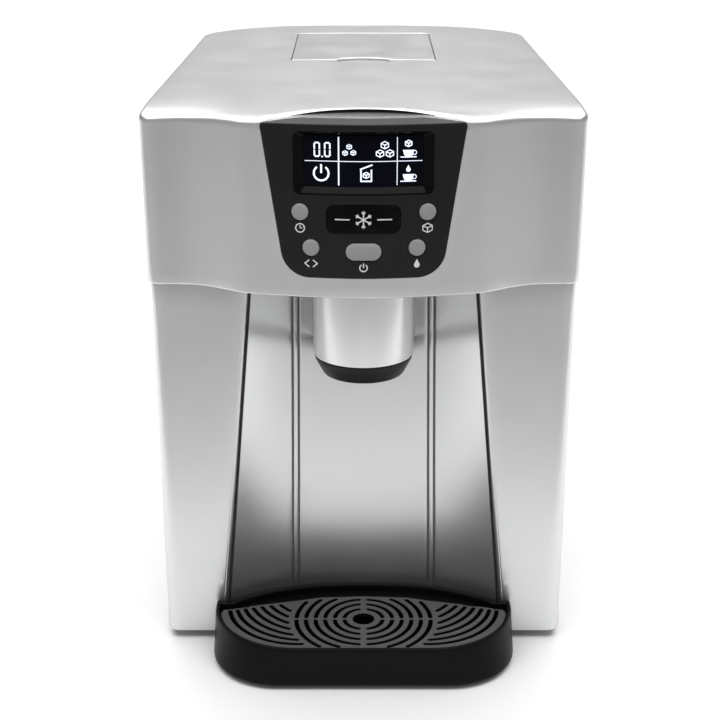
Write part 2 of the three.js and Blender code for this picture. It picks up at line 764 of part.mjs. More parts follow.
function augerMotor() {
  const gearbox = box(-25, 25, 26.2, 46, AUGER_Z - 25, AUGER_Z + 25);
  return join(gearbox, rod("y", 8, 58, AUGER_Z + 6, 15, 26, 20));
}

function iceChute() {
  const drum = rod("z", 0, SPOUT_Y, 266, 29, 64, 28);
  const duct = box(-27, 27, SPOUT_Y, BIN.front - GAP, 257, 298);
  const bore = rod("z", 0, SPOUT_Y, 266, 27, 80, 28);
  const passage = box(-25, 25, SPOUT_Y, BIN.front + 5, 259, 296);
  return cut(join(drum, duct), bore, passage);
}

function chuteFlap() {
  const plate = box(-22, 22, -114, -112, 262, 294.5);
  return join(plate, rod("x", 0, -113, 293.6, 1.8, 48.8, 12));
}

function flapSolenoid() {
  const coil = box(32, 54, -128, -104, 280, 300);
  return join(coil, rod("y", 43, -102.5, 290, 3, 4, 12), box(30.5, 32.5, -126, -106, 282, 306));
}

function evaporator() {
  const block = box(-72, 72, TROUGH.y - 13, TROUGH.y + 13, 374.5, 383);
  const fingers = [];
  for (let i = 0; i < 9; i++) {
    const x = -60 + i * 15;
    fingers.push(lathe(fingerProfile(), x, TROUGH.y, 0, 9));
  }
  const brackets = [-1, 1].map((s) => box(s * 84 - 14, s * 84 + 14, TROUGH.y - 5, TROUGH.y + 5, 378, 381));
  return join(block, ...fingers, ...brackets);
}

function fingerProfile() {
  return [
    [0, 327],
    [3, 328],
    [4.6, 331],
    [4.8, 375],
    [0, 375],
  ];
}

function waterTrough() {
  const { y, z, r, half, wall } = TROUGH;
  const outer = arc(y, z, r, 180, 360, 14);
  const inner = arc(y, z, r - wall, 360, 180, 14);
  const skin = prismX([...outer, ...inner], -half, half);
  const ends = [-1, 1].map((s) => prismX(outer, s * (half - 1.5) - 1.5, s * (half - 1.5) + 1.5));
  const hubs = [-1, 1].map((s) => rod("x", s * (half + 1), y, z, 4, 6, 14));
  return join(skin, ...ends, ...hubs);
}

function troughMotor() {
  const { y, z, half } = TROUGH;
  return join(
    box(half + 5, half + 25, y - 18, y + 18, z - 8, z + 24),
    rod("x", half + 31, y, z + 6, 13, 14, 18),
  );
}

// ---- Water ----
function waterTank() {
  const side = [
    [74, 256],
    [178, 256],
    [178, TANK.top],
    [34, TANK.top],
    [34, 320],
    [74, 320],
  ];
  const inner = inset(side, TANK.wall).map(([y, z]) => [y, z > TANK.top - 5 ? TANK.top + 5 : z]);
  const spigot = rod("z", -40, 120, 250, 5, 14, 14);
  const bore = rod("z", -40, 120, 250, 3.2, 24, 12);
  const shell = cut(prismX(side, -TANK.half, TANK.half), prismX(inner, -TANK.half + 2.5, TANK.half - 2.5));
  return cut(join(shell, spigot), bore);
}

function waterPump() {
  return join(
    rod("z", -104, 30, 45, 19, 40, 24),
    box(-126, -82, 8, 52, 11, 27),
    rod("x", -84, 30, 50, 4, 12, 12),
    rod("z", -104, 30, 70, 4, 12, 12),
  );
}

// ---- Cooling ----
function compressor() {
  const { x, y, r } = COMPRESSOR;
  const body = lathe(
    [
      [0, 20],
      [r - 6, 20],
      [r, 30],
      [r, 82],
      [r + 2.5, 84],
      [r + 2.5, 90],
      [r, 92],
      [r - 1, 140],
      [r - 16, 158],
      [0, 165],
    ],
    x,
    y,
    0,
    28,
  );
  const plate = box(x - 60, x + 60, y - 44, y + 44, 14, 21);
  const terminals = box(x - r - 16, x - r + 8, y - 16, y + 16, 96, 132);
  const stubs = [
    rod("z", x + 18, y + 14, 162, 4.5, 30, 12),
    rod("z", x - 20, y - 14, 160, 3.4, 30, 12),
  ];
  return join(body, plate, terminals, ...stubs);
}

function addGrommets() {
  const { x, y } = COMPRESSOR;
  let n = 1;
  for (const [dx, dy] of [
    [-52, -36],
    [52, -36],
    [-52, 36],
    [52, 36],
  ]) {
    add(`grommet_${n}`, rod("z", x + dx, y + dy, (10.5 + GAP + 14 - GAP) / 2, 7, 3.5 - 2 * GAP, 16), RUBBER);
    n += 1;
  }
}

function condenser() {
  const fins = [];
  for (let i = 0; i < 12; i++) {
    const x = FAN.x - 55 + i * 10;
    fins.push(box(x - 0.6, x + 0.6, 182, 204, 36, 148));
  }
  const pipes = [56, 94, 132].map((z) => rod("x", FAN.x, 193, z, 4, 124, 6));
  return join(...fins, ...pipes);
}

function fanShroud() {
  const frame = box(FAN.x - 62, FAN.x + 62, 150, 178, FAN.z - 58, FAN.z + 58);
  const throat = rod("y", FAN.x, 160, FAN.z, FAN.r + 2.5, 60, 40);
  const back = box(FAN.x - 59, FAN.x + 59, 170, 190, FAN.z - 55, FAN.z + 55);
  return cut(frame, throat, back);
}

function fanRotor() {
  const hub = rod("y", FAN.x, FAN.y, FAN.z, 15, 16, 24);
  const blades = [];
  for (let i = 0; i < 5; i++) {
    const start = (i * 2 * Math.PI) / 5;
    blades.push(
      mapped(2, 1, 3, (a, b, c) => {
        const r = 12 + (FAN.r - 12) * c;
        const angle = start + (a - 0.5) * 0.9 - 0.25 * c;
        return [FAN.x + r * Math.cos(angle), FAN.y - 6 + 12 * a + 1.4 * b, FAN.z - r * Math.sin(angle)];
      }),
    );
  }
  return join(hub, ...blades);
}

function fanMotor() {
  const can = rod("y", FAN.x, 137, FAN.z, 19, 24, 24);
  const shaft = rod("y", FAN.x, 150, FAN.z, 2.5, 3, 10);
  const arms = [-1, 1].map((s) => {
    const bar = box(FAN.x - 61, FAN.x + 61, 144, 148.5, FAN.z + s * 12 - 3, FAN.z + s * 12 + 3);
    return bar;
  });
  return join(can, shaft, ...arms);
}

function addPipes() {
  const { x, y } = COMPRESSOR;
  const suction = tube(
    [
      [x + 18, y + 14, 177.5],
      [x + 18, y + 14, 205],
      [x + 44, y - 10, 232],
      [116, 40, 250],
      [126, 0, 300],
      [128, -60, 340],
      [112, -68, 372],
      [88, -68, 379],
      [72, -64, 379],
      [70, -54, 379],
      [70, -43.5, 379],
    ],
    3.4,
    7,
    30,
  );
  const discharge = tube(
    [
      [x - 20, y - 14, 175.5],
      [x - 20, y - 14, 196],
      [x - 30, y + 30, 208],
      [10, 186, 196],
      [8, 193, 160],
      [8, 193, 142],
      [4, 193, 132],
      [-3.5, 193, 132],
    ],
    2.8,
    6,
    24,
  );
  add("suction_line", suction, COPPER);
  add("discharge_line", discharge, COPPER);
  add("filter_drier", lathe(drierProfile(), 4, 60, 0, 18), COPPER);
  const feed = tube(
    [
      [-104, 30, 76.4],
      [-104, 30, 110],
      [-112, 10, 200],
      [-114, -20, 300],
      [-112, -14, 362],
      [-100, -12, 380],
      [-84, -12, 382],
      [-79, -12, 379],
      [-78.5, -12, 373.5],
    ],
    4,
    7,
    22,
  );
  add("feed_tube", feed, WHITE);
  const draw = tube(
    [
      [-40, 120, 242.6],
      [-40, 118, 215],
      [-44, 80, 160],
      [-60, 40, 90],
      [-66, 30, 56],
      [-70, 30, 50],
      [-77.5, 30, 50],
    ],
    3.8,
    7,
    20,
  );
  add("draw_tube", draw, WHITE);
}

function drierProfile() {
  return [
    [0, 60],
    [2.4, 60],
    [2.4, 72],
    [9, 80],
    [9, 130],
    [2.4, 138],
    [2.4, 150],
    [0, 150],
  ];
}

// ---- Power ----
function powerBoard() {
  const board = box(-128, -126.4, -90, -10, 110, 220);
  const parts = [
    box(-127, -100, -80, -50, 120, 150),
    box(-127, -108, -40, -20, 118, 150),
    box(-127, -112, -84, -54, 165, 190),
    rod("x", -114, -30, 180, 9, 26, 16),
    rod("x", -116, -60, 206, 6, 22, 12),
  ];
  return join(board, ...parts);
}

function powerInlet() {
  const flange = box(71, 109, REAR_Y - 0.8, REAR_Y - 0.2, 36, 66);
  const block = box(75.4, 104.6, 188, REAR_Y - 0.4, 40.4, 61.6);
  const socket = box(78, 102, 196, REAR_Y + 2, 43, 59);
  const pins = [
    box(89, 91, 194, 209, 53, 57),
    box(83, 85, 194, 209, 45, 49),
    box(95, 97, 194, 209, 45, 49),
  ];
  return join(cut(join(block, flange.intersect(box(75.4, 104.6, 0, 300, 40.4, 61.6))), socket), ...pins);
}

function drainFitting() {
  const spigot = rod("y", 30, 196.5, 22, 8, 19, 20);
  const bore = rod("y", 30, 205, 22, 5.4, 60, 16);
  const flange = cut(box(18, 42, 199, 204, 11, 33), rod("y", 30, 200, 22, 7.5, 60, 20));
  return cut(join(spigot, flange), bore);
}

function drainCap() {
  const plug = rod("y", 30, 203.5, 22, 5, 9, 16);
  const disc = rod("y", 30, 208, 22, 7.6, 3, 18);
  const grip = box(28.6, 31.4, 208, 212.8, 16, 28);
  return join(plug, disc, grip);
}

// ---- Assembly ----
add("base_pan", basePan(), STEEL);
addFeet();
const frontHalf = lowerFront();
add("lower_front_right", frontHalf, SILVER);
add("lower_front_left", mirrorX(frontHalf), SILVER);
const sideHalf = sidePanel();
add("side_panel_right", sideHalf, SILVER);
add("side_panel_left", mirrorX(sideHalf), SILVER);
add("rear_panel", rearPanel(), SILVER);
add("recess_liner", recessLiner(), SILVER);
add("head_shell", headShell(), SILVER);
add("head_floor", headFloor(), SILVER);
add("top_cover", topCover(), SILVER);
add("fill_door", fillDoor(), SILVER);
add("control_fascia", controlFascia(), BLACK);
add("display_lens", onFront(screenWindow(0), 3.6, 5.6), SCREEN_BLACK);
add("display_module", displayModule(), BLACK);
add("badge_plate", onFront(roundedRect(-BADGE.half, BADGE.half, BADGE.low, BADGE.high, 4.7), -1, 0), BLACK);
addButtons();
add("control_board", controlBoard(), GREEN);
add("spout_shroud", spoutShroud(), SILVER);
add("spout_collar", spoutCollar(), BLACK);
add("drip_tray", dripTray(), BLACK);
add("drip_grille", dripGrille(), BLACK);
add("ice_bin", iceBin(), WHITE);
add("auger", auger(), WHITE);
add("auger_motor", augerMotor(), STEEL);
add("ice_chute", iceChute(), WHITE);
add("chute_flap", chuteFlap(), WHITE);
add("flap_solenoid", flapSolenoid(), STEEL);
add("evaporator", evaporator(), STEEL);
add("water_trough", waterTrough(), WHITE);
add("trough_motor", troughMotor(), GREY);
add("water_tank", waterTank(), WHITE);
add("water_pump", waterPump(), WHITE);
add("compressor", compressor(), PAINTED_BLACK);
addGrommets();
add("condenser", condenser(), STEEL);
add("fan_shroud", fanShroud(), GREY);
add("fan_rotor", fanRotor(), BLACK);
add("fan_motor", fanMotor(), STEEL);
addPipes();
add("power_board", powerBoard(), GREEN);
add("power_inlet", powerInlet(), BLACK);
add("drain_fitting", drainFitting(), GREY);
add("drain_cap", drainCap(), RUBBER);

export default root;
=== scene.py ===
"""The looks of a countertop ice maker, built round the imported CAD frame.

Shapes are in millimetres until make() turns them into metres. The stage, lights and camera are in metres.
"""
import json
import math

import bmesh
import bpy
import numpy as np
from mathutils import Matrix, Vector
from mathutils.geometry import delaunay_2d_cdt

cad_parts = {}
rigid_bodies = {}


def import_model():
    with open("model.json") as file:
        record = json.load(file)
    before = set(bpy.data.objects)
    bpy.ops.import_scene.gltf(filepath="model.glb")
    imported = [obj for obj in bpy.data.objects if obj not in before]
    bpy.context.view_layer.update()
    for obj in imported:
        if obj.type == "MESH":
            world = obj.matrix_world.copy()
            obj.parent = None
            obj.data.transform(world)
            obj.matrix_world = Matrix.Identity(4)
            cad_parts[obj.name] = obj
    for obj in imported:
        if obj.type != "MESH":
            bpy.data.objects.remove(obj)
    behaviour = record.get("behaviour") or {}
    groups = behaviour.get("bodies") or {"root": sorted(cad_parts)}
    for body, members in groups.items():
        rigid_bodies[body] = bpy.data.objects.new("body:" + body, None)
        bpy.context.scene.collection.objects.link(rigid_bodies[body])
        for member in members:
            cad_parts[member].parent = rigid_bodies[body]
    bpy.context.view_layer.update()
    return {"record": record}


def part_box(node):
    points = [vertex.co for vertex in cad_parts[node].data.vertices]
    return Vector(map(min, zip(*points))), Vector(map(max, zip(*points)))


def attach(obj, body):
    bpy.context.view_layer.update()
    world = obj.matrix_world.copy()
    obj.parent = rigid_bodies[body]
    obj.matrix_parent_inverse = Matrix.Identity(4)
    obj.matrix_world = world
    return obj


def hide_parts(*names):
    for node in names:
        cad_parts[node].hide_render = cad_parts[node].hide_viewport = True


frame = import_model()
MM = 0.001


def cad(node):
    """The lowest and highest corners of a CAD node, in millimetres."""
    low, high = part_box(node)
    return low / MM, high / MM


# ---- Sizes taken from the frame ----
HEAD_LOW, HEAD_HIGH = cad("head_shell")
HALF, REAR = HEAD_HIGH.x, HEAD_HIGH.y
SEAM = HEAD_LOW.z  # where the head meets the lower body
BODY_LOW, BODY_HIGH = cad("lower_front_right")
BODY_HALF, BODY_FRONT, BODY_BOTTOM = BODY_HIGH.x, BODY_LOW.y, BODY_LOW.z
TRAY_LOW, TRAY_HIGH = cad("drip_tray")
GRILLE_TOP = cad("drip_grille")[1].z
DOOR_LOW, DOOR_HIGH = cad("fill_door")
COLLAR_LOW, COLLAR_HIGH = cad("spout_collar")
SHROUD_LOW, SHROUD_HIGH = cad("spout_shroud")
LENS_LOW, LENS_HIGH = cad("display_lens")
BADGE_LOW, BADGE_HIGH = cad("badge_plate")
FASCIA_LOW, FASCIA_HIGH = cad("control_fascia")

# ---- Head and top ----
BULGE = [(0, -33), (24.5, -31), (52, -26.8), (70, -22.6), (80, -19.6), (90, -13.5), (100, -7.2), (110, -2.6),
         (120, -0.4), (137, 0)]  # half plan of the head's front, forward of its corners
FRONT = HEAD_LOW.y - BULGE[0][1]
REAR_HALF = 140.5
FRONT_CORNER = 9
REAR_CORNER = 12
WALL = 3.0
EDGE_Z = 385  # the crowned top at the front corners
EDGE_ROUND = 3
COVER_SEAM = EDGE_Z - EDGE_ROUND
CREST_FRONT = 2.6
CREST_RISE = 6.3
CORNER_RISE = 5.2
ROLL_SIDE, ROLL_MIDDLE = 4.4, 2.5  # how far the front edge rolls over into the top, at its sides and middle
ROLL_LENGTH = 16
DOOR_HALF, DOOR_FRONT, DOOR_BACK = 55.0, DOOR_LOW.y, DOOR_HIGH.y
DOOR_GAP = 0.6
NOTCH_HALF, NOTCH_DEPTH = 20, 9
DISH_HALF, DISH_REACH, DISH_LIP = 33, 8, 0.4  # the finger dish in front of the notch
SCOOP_R, SCOOP_END = 93, 65.2
SCOOP_Y = FRONT - 89
SCOOP_FLOOR = 385.8
SCOOP_SHADOW = 47
BROW = 15

# ---- Controls ----
FASCIA_HALF = FASCIA_HIGH.x
FASCIA_LOW_HALF = 53.6
FASCIA_CORNER = 19
FASCIA_TOP_CORNER = 2.2
FASCIA_FACE = -0.8  # the panel stands this far out of the head
RECESS = (-44.6, 44.6, 341.4, 382)
RECESS_CORNER, WINDOW_CORNER = 4.2, 1.5
LENS_DEPTH = 3.6
BADGE_FACE = -1.15
KEYS = ("button_timer", "button_ice", "button_select", "button_water", "button_power")
KEY_R = 5.5

# ---- Lower body ----
BODY_REAR_HALF = 139
BAY_TOP = 76.2
BAY_SPLAY = 0.0902
BAY_DEPTH = 28
BAY_EDGE = 3.6  # chamfer along the bay's mouth
LINER_GAP = 0.9  # the gap between the chamfer and the liner, drawn as a dark line by a strip of painted shade
GROOVES = (44.8, 48.9)  # at the top of the bay
GROOVE_SPLAY = 0.072
GROOVE_HALF = 1.5
GROOVE_STEPS = (-1.3, -0.9, -0.65, -0.35, 0, 0.35, 0.65, 0.9, 1.3)
SPOUT_Y = (COLLAR_LOW.y + COLLAR_HIGH.y) / 2
SPOUT_R = 34.2
SKIRT_LOW = 228
SHEET = 1.6
VENT = 4
FAN_X = -66

# ---- Drip tray ----
TRAY_LOW_R, TRAY_HIGH_R = 48, 61
TRAY_DRAFT = 2.6
TRAY_BACK = -144.6
TRAY_SEAT = 25.6  # where the grille rests
GRILLE_Y, GRILLE_BACK = -166, -130
GRILLE_THICK = 3.0
GRILLE_INSET = 3.5
FIRST_RING, RING_PITCH, RINGS = 13.8, 6.86, 6
SPOKE_X, SPOKE_Y = 0.8, 1.8
SLOT = 3.1
WAVES, WAVE_R = 9, 52
WAVE_START, WAVE_STEP = (45, -148), (4.5, 5.25)

# ---- Studio, in metres ----
FLOOR_NEAR = -0.28  # where the floor's painted light starts to fall off to grey
FLOOR_REACH = 2.8
FLOOR_SIDE = 2.0
FLOOR_LIGHT_TONES = [(0, 0.93), (0.036, 0.72), (0.086, 0.57), (0.154, 0.49), (0.257, 0.42), (0.38, 0.42),
               (0.6, 0.5), (1, 0.68)]
ROOM_FRONT, ROOM_BACK = 0.38, 0.3
CAMERA_PITCH = math.radians(19.9)
CAMERA_LENS = 69.65
CAMERA_SHIFT = -0.0048611111
CAMERA_AHEAD, CAMERA_HEIGHT = 0.8966, 0.5437

SHARP = 32  # degrees, above which an edge is drawn sharp


# ---- Plane geometry ----
def arc(cx, cy, r, start, end, steps):
    """Points on an arc, in degrees, ends included."""
    out = []
    for i in range(steps + 1):
        a = math.radians(start + (end - start) * i / steps)
        out.append((cx + r * math.cos(a), cy + r * math.sin(a)))
    return out


def circle(cx, cy, r, points=48):
    return arc(cx, cy, r, 0, 360 - 360 / points, points - 1)


def rounded(x0, x1, y0, y1, r, steps=8):
    """A rounded rectangle, counter-clockwise."""
    return (arc(x1 - r, y0 + r, r, -90, 0, steps) + arc(x1 - r, y1 - r, r, 0, 90, steps)
            + arc(x0 + r, y1 - r, r, 90, 180, steps) + arc(x0 + r, y0 + r, r, 180, 270, steps))


def mirrored(half):
    """A closed outline from its half with x >= 0, which starts and ends on x = 0."""
    return list(half) + [(-x, y) for x, y in reversed(half) if abs(x) > 1e-6]


def split(a, b, count):
    """Points from a up to, but without, b."""
    return [(a[0] + (b[0] - a[0]) * i / count, a[1] + (b[1] - a[1]) * i / count) for i in range(count)]


def resample(points, step):
    """Adds points so that no side of the closed outline is longer than step."""
    out = []
    for i, p in enumerate(points):
        q = points[(i + 1) % len(points)]
        out += split(p, q, max(1, math.ceil(math.dist(p, q) / step)))
    return out


def area(points):
    p = np.array(points)
    x, y = p[:, 0], p[:, 1]
    return 0.5 * float(np.dot(x, np.roll(y, -1)) - np.dot(y, np.roll(x, -1)))


def offset(points, d):
    """Moves a counter-clockwise outline inwards by d, or outwards if d is negative."""
    p = np.array(points, float)
    sides = np.roll(p, -1, axis=0) - p
    n2 = np.stack([-sides[:, 1], sides[:, 0]], 1)
    n2 /= np.maximum(np.linalg.norm(n2, axis=1, keepdims=True), 1e-9)
    n1 = np.roll(n2, 1, axis=0)
    k = d / np.maximum(1 + (n1 * n2).sum(1, keepdims=True), 0.3)
    return [tuple(v) for v in p + (n1 + n2) * k]


def inside(points, polygon):
    """Which of the points lie in the polygon."""
    p = np.array(points, float)
    q = np.array(polygon, float)
    result = np.zeros(len(p), bool)
    for (x0, y0), (x1, y1) in zip(q, np.roll(q, -1, axis=0)):
        crosses = (y0 > p[:, 1]) != (y1 > p[:, 1])
        if not crosses.any():
            continue
        x = x0 + (p[:, 1] - y0) * (x1 - x0) / ((y1 - y0) or 1e-12)
        result ^= crosses & (p[:, 0] < x)
    return result


def clearance(points, polygon):
    """The distance from each point to the polygon's sides."""
    p = np.array(points, float)
    best = np.full(len(p), 1e9)
    q = np.array(polygon, float)
    for a, b in zip(q, np.roll(q, -1, axis=0)):
        side = b - a
        t = np.clip(((p - a) @ side) / max(side @ side, 1e-12), 0, 1)
        best = np.minimum(best, np.linalg.norm(p - (a + t[:, None] * side), axis=1))
    return best


def between(points, rings):
    """Which of the points lie in the outer ring and in none of the holes."""
    keep = inside(points, rings[0])
    for hole in rings[1:]:
        keep &= ~inside(points, hole)
    return keep


# ---- Mesh building ----
def add(name, data):
    """A new object in the scene."""
    thing = bpy.data.objects.new(name, data)
    bpy.context.scene.collection.objects.link(thing)
    return thing


def make(name, verts, faces, material, slot, nodes=(), body="cabinet", sharp=SHARP):
    """A mesh piece from points in millimetres. It rides on the body and stands for the nodes."""
    mesh = bpy.data.meshes.new(name)
    mesh.from_pydata([tuple(c * MM for c in v) for v in verts], [], faces)
    bm = bmesh.new()
    bm.from_mesh(mesh)
    bmesh.ops.remove_doubles(bm, verts=bm.verts, dist=2e-7)
    bmesh.ops.dissolve_degenerate(bm, dist=1e-7, edges=bm.edges)
    if name == "head_wall":
        bmesh.ops.delete(bm, geom=[f for f in bm.faces if in_join(f)], context="FACES_ONLY")
    bmesh.ops.recalc_face_normals(bm, faces=bm.faces)
    bm.to_mesh(mesh)
    bm.free()
    mesh.shade_smooth()
    mesh.set_sharp_from_angle(angle=math.radians(sharp))
    mesh.materials.append(material)
    piece = add(name, mesh)
    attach(piece, body)
    if nodes:
        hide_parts(*nodes)
    return piece


def in_join(face):
    """Whether the face is in the wall left inside where a wrapped sheet meets itself at the back."""
    return all(abs(v.co.x) < 1e-6 and v.co.y > 0 for v in face.verts)


def quads(rows, columns, closed=False):
    """Faces between rows of points. Closed rows meet themselves."""
    w = columns if closed else columns + 1
    return [(j * w + i, j * w + (i + 1) % w, (j + 1) * w + (i + 1) % w, (j + 1) * w + i)
            for j in range(rows) for i in range(columns)]


def lattice(rings, spacing):
    """Staggered points inside the outer ring, clear of its sides and of the holes."""
    du, dv = spacing if isinstance(spacing, tuple) else (spacing, spacing * 0.87)
    outer = np.array(rings[0])
    (u0, v0), (u1, v1) = outer.min(0), outer.max(0)
    points = [(u, v) for k, v in enumerate(np.arange(v0 + dv / 2, v1, dv))
              for u in np.arange(u0 + du * (0.5 + 0.5 * (k % 2)), u1, du)]
    if not points:
        return []
    keep = between(points, rings)
    for ring in rings:
        keep &= clearance(points, ring) > 0.35 * min(du, dv)
    return [p for p, ok in zip(points, keep) if ok]


def fill(rings, spacing):
    """Triangles between an outer ring and its holes: the extra points, and the faces as index triples."""
    flat = [p for ring in rings for p in ring]
    edges = []
    start = 0
    for ring in rings:
        n = len(ring)
        edges += [(start + i, start + (i + 1) % n) for i in range(n)]
        start += n
    extra = lattice(rings, spacing) if spacing else []
    result = delaunay_2d_cdt([Vector(p) for p in flat + extra], edges, [], 0, 1e-7)
    points, faces, origin = result[0], result[2], result[3]
    index = [min(o) if o else None for o in origin]
    centre = [(sum(points[i].x for i in f) / 3, sum(points[i].y for i in f) / 3) for f in faces]
    triples = [tuple(index[i] for i in f) for f, ok in zip(faces, between(centre, rings)) if ok]
    return extra, [t for t in triples if None not in t and max(t) < len(flat) + len(extra)]


def plate(name, loops, place, material, slot, nodes=(), body="cabinet", spacing=None, back=True, sharp=SHARP):
    """A sheet with holes and rounded edges. Each loop is (outline, path). The first is the outer edge.

    A path's entries are (inset, depth) from the face round the edge to the back. The inset goes into the
    material, or is an outline of its own with as many points. place(u, v, depth) gives a point."""
    verts, faces = [], []
    front, rear = [], []
    for k, (outline, path) in enumerate(loops):
        outline = outline if area(outline) > 0 else outline[::-1]
        rings = []
        for inset, depth in path:
            flat = inset if isinstance(inset, list) else offset(outline, inset if k == 0 else -inset)
            rings.append((len(verts), flat))
            verts += [place(u, v, depth) for u, v in flat]
        n = len(outline)
        for (a, _), (b, _) in zip(rings, rings[1:]):
            faces += [(a + i, a + (i + 1) % n, b + (i + 1) % n, b + i) for i in range(n)]
        front.append((rings[0], path[0][1]))
        rear.append((rings[-1], path[-1][1]))
    for side in (front, rear) if back else (front,):
        flats = [ring[1] for ring, _ in side]
        extra, triples = fill(flats, spacing)
        lookup = [ring[0] + i for ring, _ in side for i in range(len(ring[1]))]
        first = len(verts)
        verts += [place(u, v, side[0][1]) for u, v in extra]
        lookup += range(first, first + len(extra))
        faces += [tuple(lookup[i] for i in t) for t in triples]
    return make(name, verts, faces, material, slot, nodes, body, sharp)


def edge(r, thickness, steps=4, face=0.0):
    """A path for a rounded front edge of radius r and a plain back."""
    path = []
    for i in range(steps + 1):
        a = math.pi / 2 * i / steps
        path.append((r * (1 - math.sin(a)), face + r * (1 - math.cos(a))))
    return path + [(0, face + thickness)]


def both(r, thickness, steps=3):
    """A path with both edges rounded."""
    front = edge(r, thickness, steps)[:-1]
    return front + [(inset, thickness - depth) for inset, depth in reversed(front)]


def grid(name, nu, nv, place, material, slot, sharp=SHARP):
    """A sheet of nu by nv cells from place(a, b), a and b from 0 to 1."""
    verts = [place(i / nu, j / nv) for j in range(nv + 1) for i in range(nu + 1)]
    return make(name, verts, quads(nv, nu), material, slot, sharp=sharp)


def turned(name, profile, centre, material, slot, nodes, steps):
    """A turned shape from (radius, height) points about an upright axis through the centre."""
    verts = []
    for r, h in profile:
        for k in range(steps):
            a = 2 * math.pi * k / steps
            verts.append((r * math.cos(a) + centre[0], r * math.sin(a) + centre[1], h + centre[2]))
    return make(name, verts, quads(len(profile) - 1, steps, closed=True), material, slot, nodes)


# ---- Outlines ----
def spline(points, x):
    """A smooth curve through (x, y) points, by x."""
    if x >= points[-1][0]:
        return points[-1][1]
    i = max(k for k, p in enumerate(points) if p[0] <= x)
    x0, y0 = points[i]
    x1, y1 = points[i + 1]
    xa, ya = points[i - 1] if i else (-points[1][0], points[1][1])
    xb, yb = points[i + 2] if i + 2 < len(points) else (x1 + 1, y1)
    t = (x - x0) / (x1 - x0)
    m0 = (y1 - ya) / (x1 - xa) * (x1 - x0)
    m1 = (yb - y0) / (xb - x0) * (x1 - x0)
    return ((2 * t ** 3 - 3 * t ** 2 + 1) * y0 + (t ** 3 - 2 * t ** 2 + t) * m0
            + (-2 * t ** 3 + 3 * t ** 2) * y1 + (t ** 3 - t ** 2) * m1)


def front_y(x):
    return FRONT + spline(BULGE, abs(x))


def head_outline():
    steps = 70
    limit = BULGE[-1][0]
    front = [(limit * i / steps, front_y(limit * i / steps)) for i in range(steps + 1)]
    half = front + arc(HALF - FRONT_CORNER, FRONT + FRONT_CORNER, FRONT_CORNER, -90, 0, 10)[1:]
    half += arc(REAR_HALF - REAR_CORNER, REAR - REAR_CORNER, REAR_CORNER, 0, 90, 10) + [(0, REAR)]
    return mirrored(half)


def body_outline():
    half = [(0, BODY_FRONT)]
    half += arc(BODY_HALF - FRONT_CORNER, BODY_FRONT + FRONT_CORNER, FRONT_CORNER, -90, 0, 12)
    half += arc(BODY_REAR_HALF - REAR_CORNER, REAR - REAR_CORNER, REAR_CORNER, 0, 90, 10) + [(0, REAR)]
    return mirrored(half)


class Wrap:
    """A closed outline measured along its length from the middle of its front, with a smooth normal."""

    def __init__(self, outline):
        self.points = np.array(resample(outline, 0.6))
        self.closed = np.vstack([self.points, self.points[:1]])
        self.along = np.concatenate([[0], np.cumsum(np.linalg.norm(np.diff(self.closed, axis=0), axis=1))])
        self.length = float(self.along[-1])

    def at(self, s):
        s %= self.length
        return np.array([np.interp(s, self.along, self.closed[:, k]) for k in (0, 1)])

    def place(self, s, z, depth):
        p = self.at(s)
        t = self.at(s + 0.8) - self.at(s - 0.8)
        t /= max(np.linalg.norm(t), 1e-9)
        return (p[0] - t[1] * depth, p[1] + t[0] * depth, z)

    def mirror(self, s, z, depth):
        x, y, height = self.place(s, z, depth)
        return (-x, y, height)

    def where(self, x):
        """How far along the front the outline reaches this x."""
        near = [i for i, p in enumerate(self.points) if p[1] < 0 and abs(p[0] - x) < 2]
        best = min(near, key=lambda i: abs(self.points[i][0] - x))
        return float(self.along[best])

    def nearest(self, x, y):
        """How far along the outline its point nearest to (x, y) lies."""
        return float(self.along[np.argmin(np.hypot(self.points[:, 0] - x, self.points[:, 1] - y))])


def crown(x, y):
    """The height of the top."""
    q = 1 - min(1, abs(x) / HALF) ** 3.4
    s = min(1, max(0, (y - FRONT) / (REAR - FRONT)))
    roll = 1 - math.exp(-max(0, y - front_y(x)) / ROLL_LENGTH)
    height = ROLL_SIDE + (ROLL_MIDDLE - ROLL_SIDE) * q * (1 - s)
    return EDGE_Z + height * roll + CORNER_RISE * s + q * (CREST_FRONT + CREST_RISE * s)


def on_front(x, z, depth):
    """A point behind the head's curved front."""
    return (x, front_y(x) + depth, z)


def bay_half(z):
    return BAY_TOP + (SEAM - z) * BAY_SPLAY


def bay_y(u):
    return BODY_FRONT + BAY_DEPTH * (1 - abs(u) ** 2.6)


def groove_x(x, z):
    """Where a groove that starts at x runs at this height."""
    return x * (1 + GROOVE_SPLAY * (SEAM - z) / (SEAM - TRAY_HIGH.z))


# ---- Materials ----
class Graph:
    """The nodes of a material or of the world."""

    def __init__(self, owner):
        owner.use_nodes = True
        self.tree = owner.node_tree

    def put(self, node, inputs):
        """Sets a node's inputs to values, or links them to the outputs of other nodes."""
        for key, value in inputs.items():
            if isinstance(value, bpy.types.NodeSocket):
                self.tree.links.new(value, node.inputs[key])
            else:
                node.inputs[key].default_value = value

    def add(self, kind, inputs):
        node = self.tree.nodes.new("ShaderNode" + kind)
        self.put(node, inputs)
        return node

    def coordinates(self, space):
        return self.add("TexCoord", {}).outputs[space]

    def noise(self, scale, detail=3, stretch=(1, 1, 1)):
        mapping = self.add("Mapping", {"Scale": stretch, "Vector": self.coordinates("Object")})
        inputs = {"Scale": scale, "Detail": detail, "Vector": mapping.outputs["Vector"]}
        return self.add("TexNoise", inputs).outputs["Fac"]

    def ranged(self, value, low, high, start=0.35, end=0.65):
        inputs = {"Value": value, "From Min": start, "From Max": end, "To Min": low, "To Max": high}
        return self.add("MapRange", inputs).outputs["Result"]


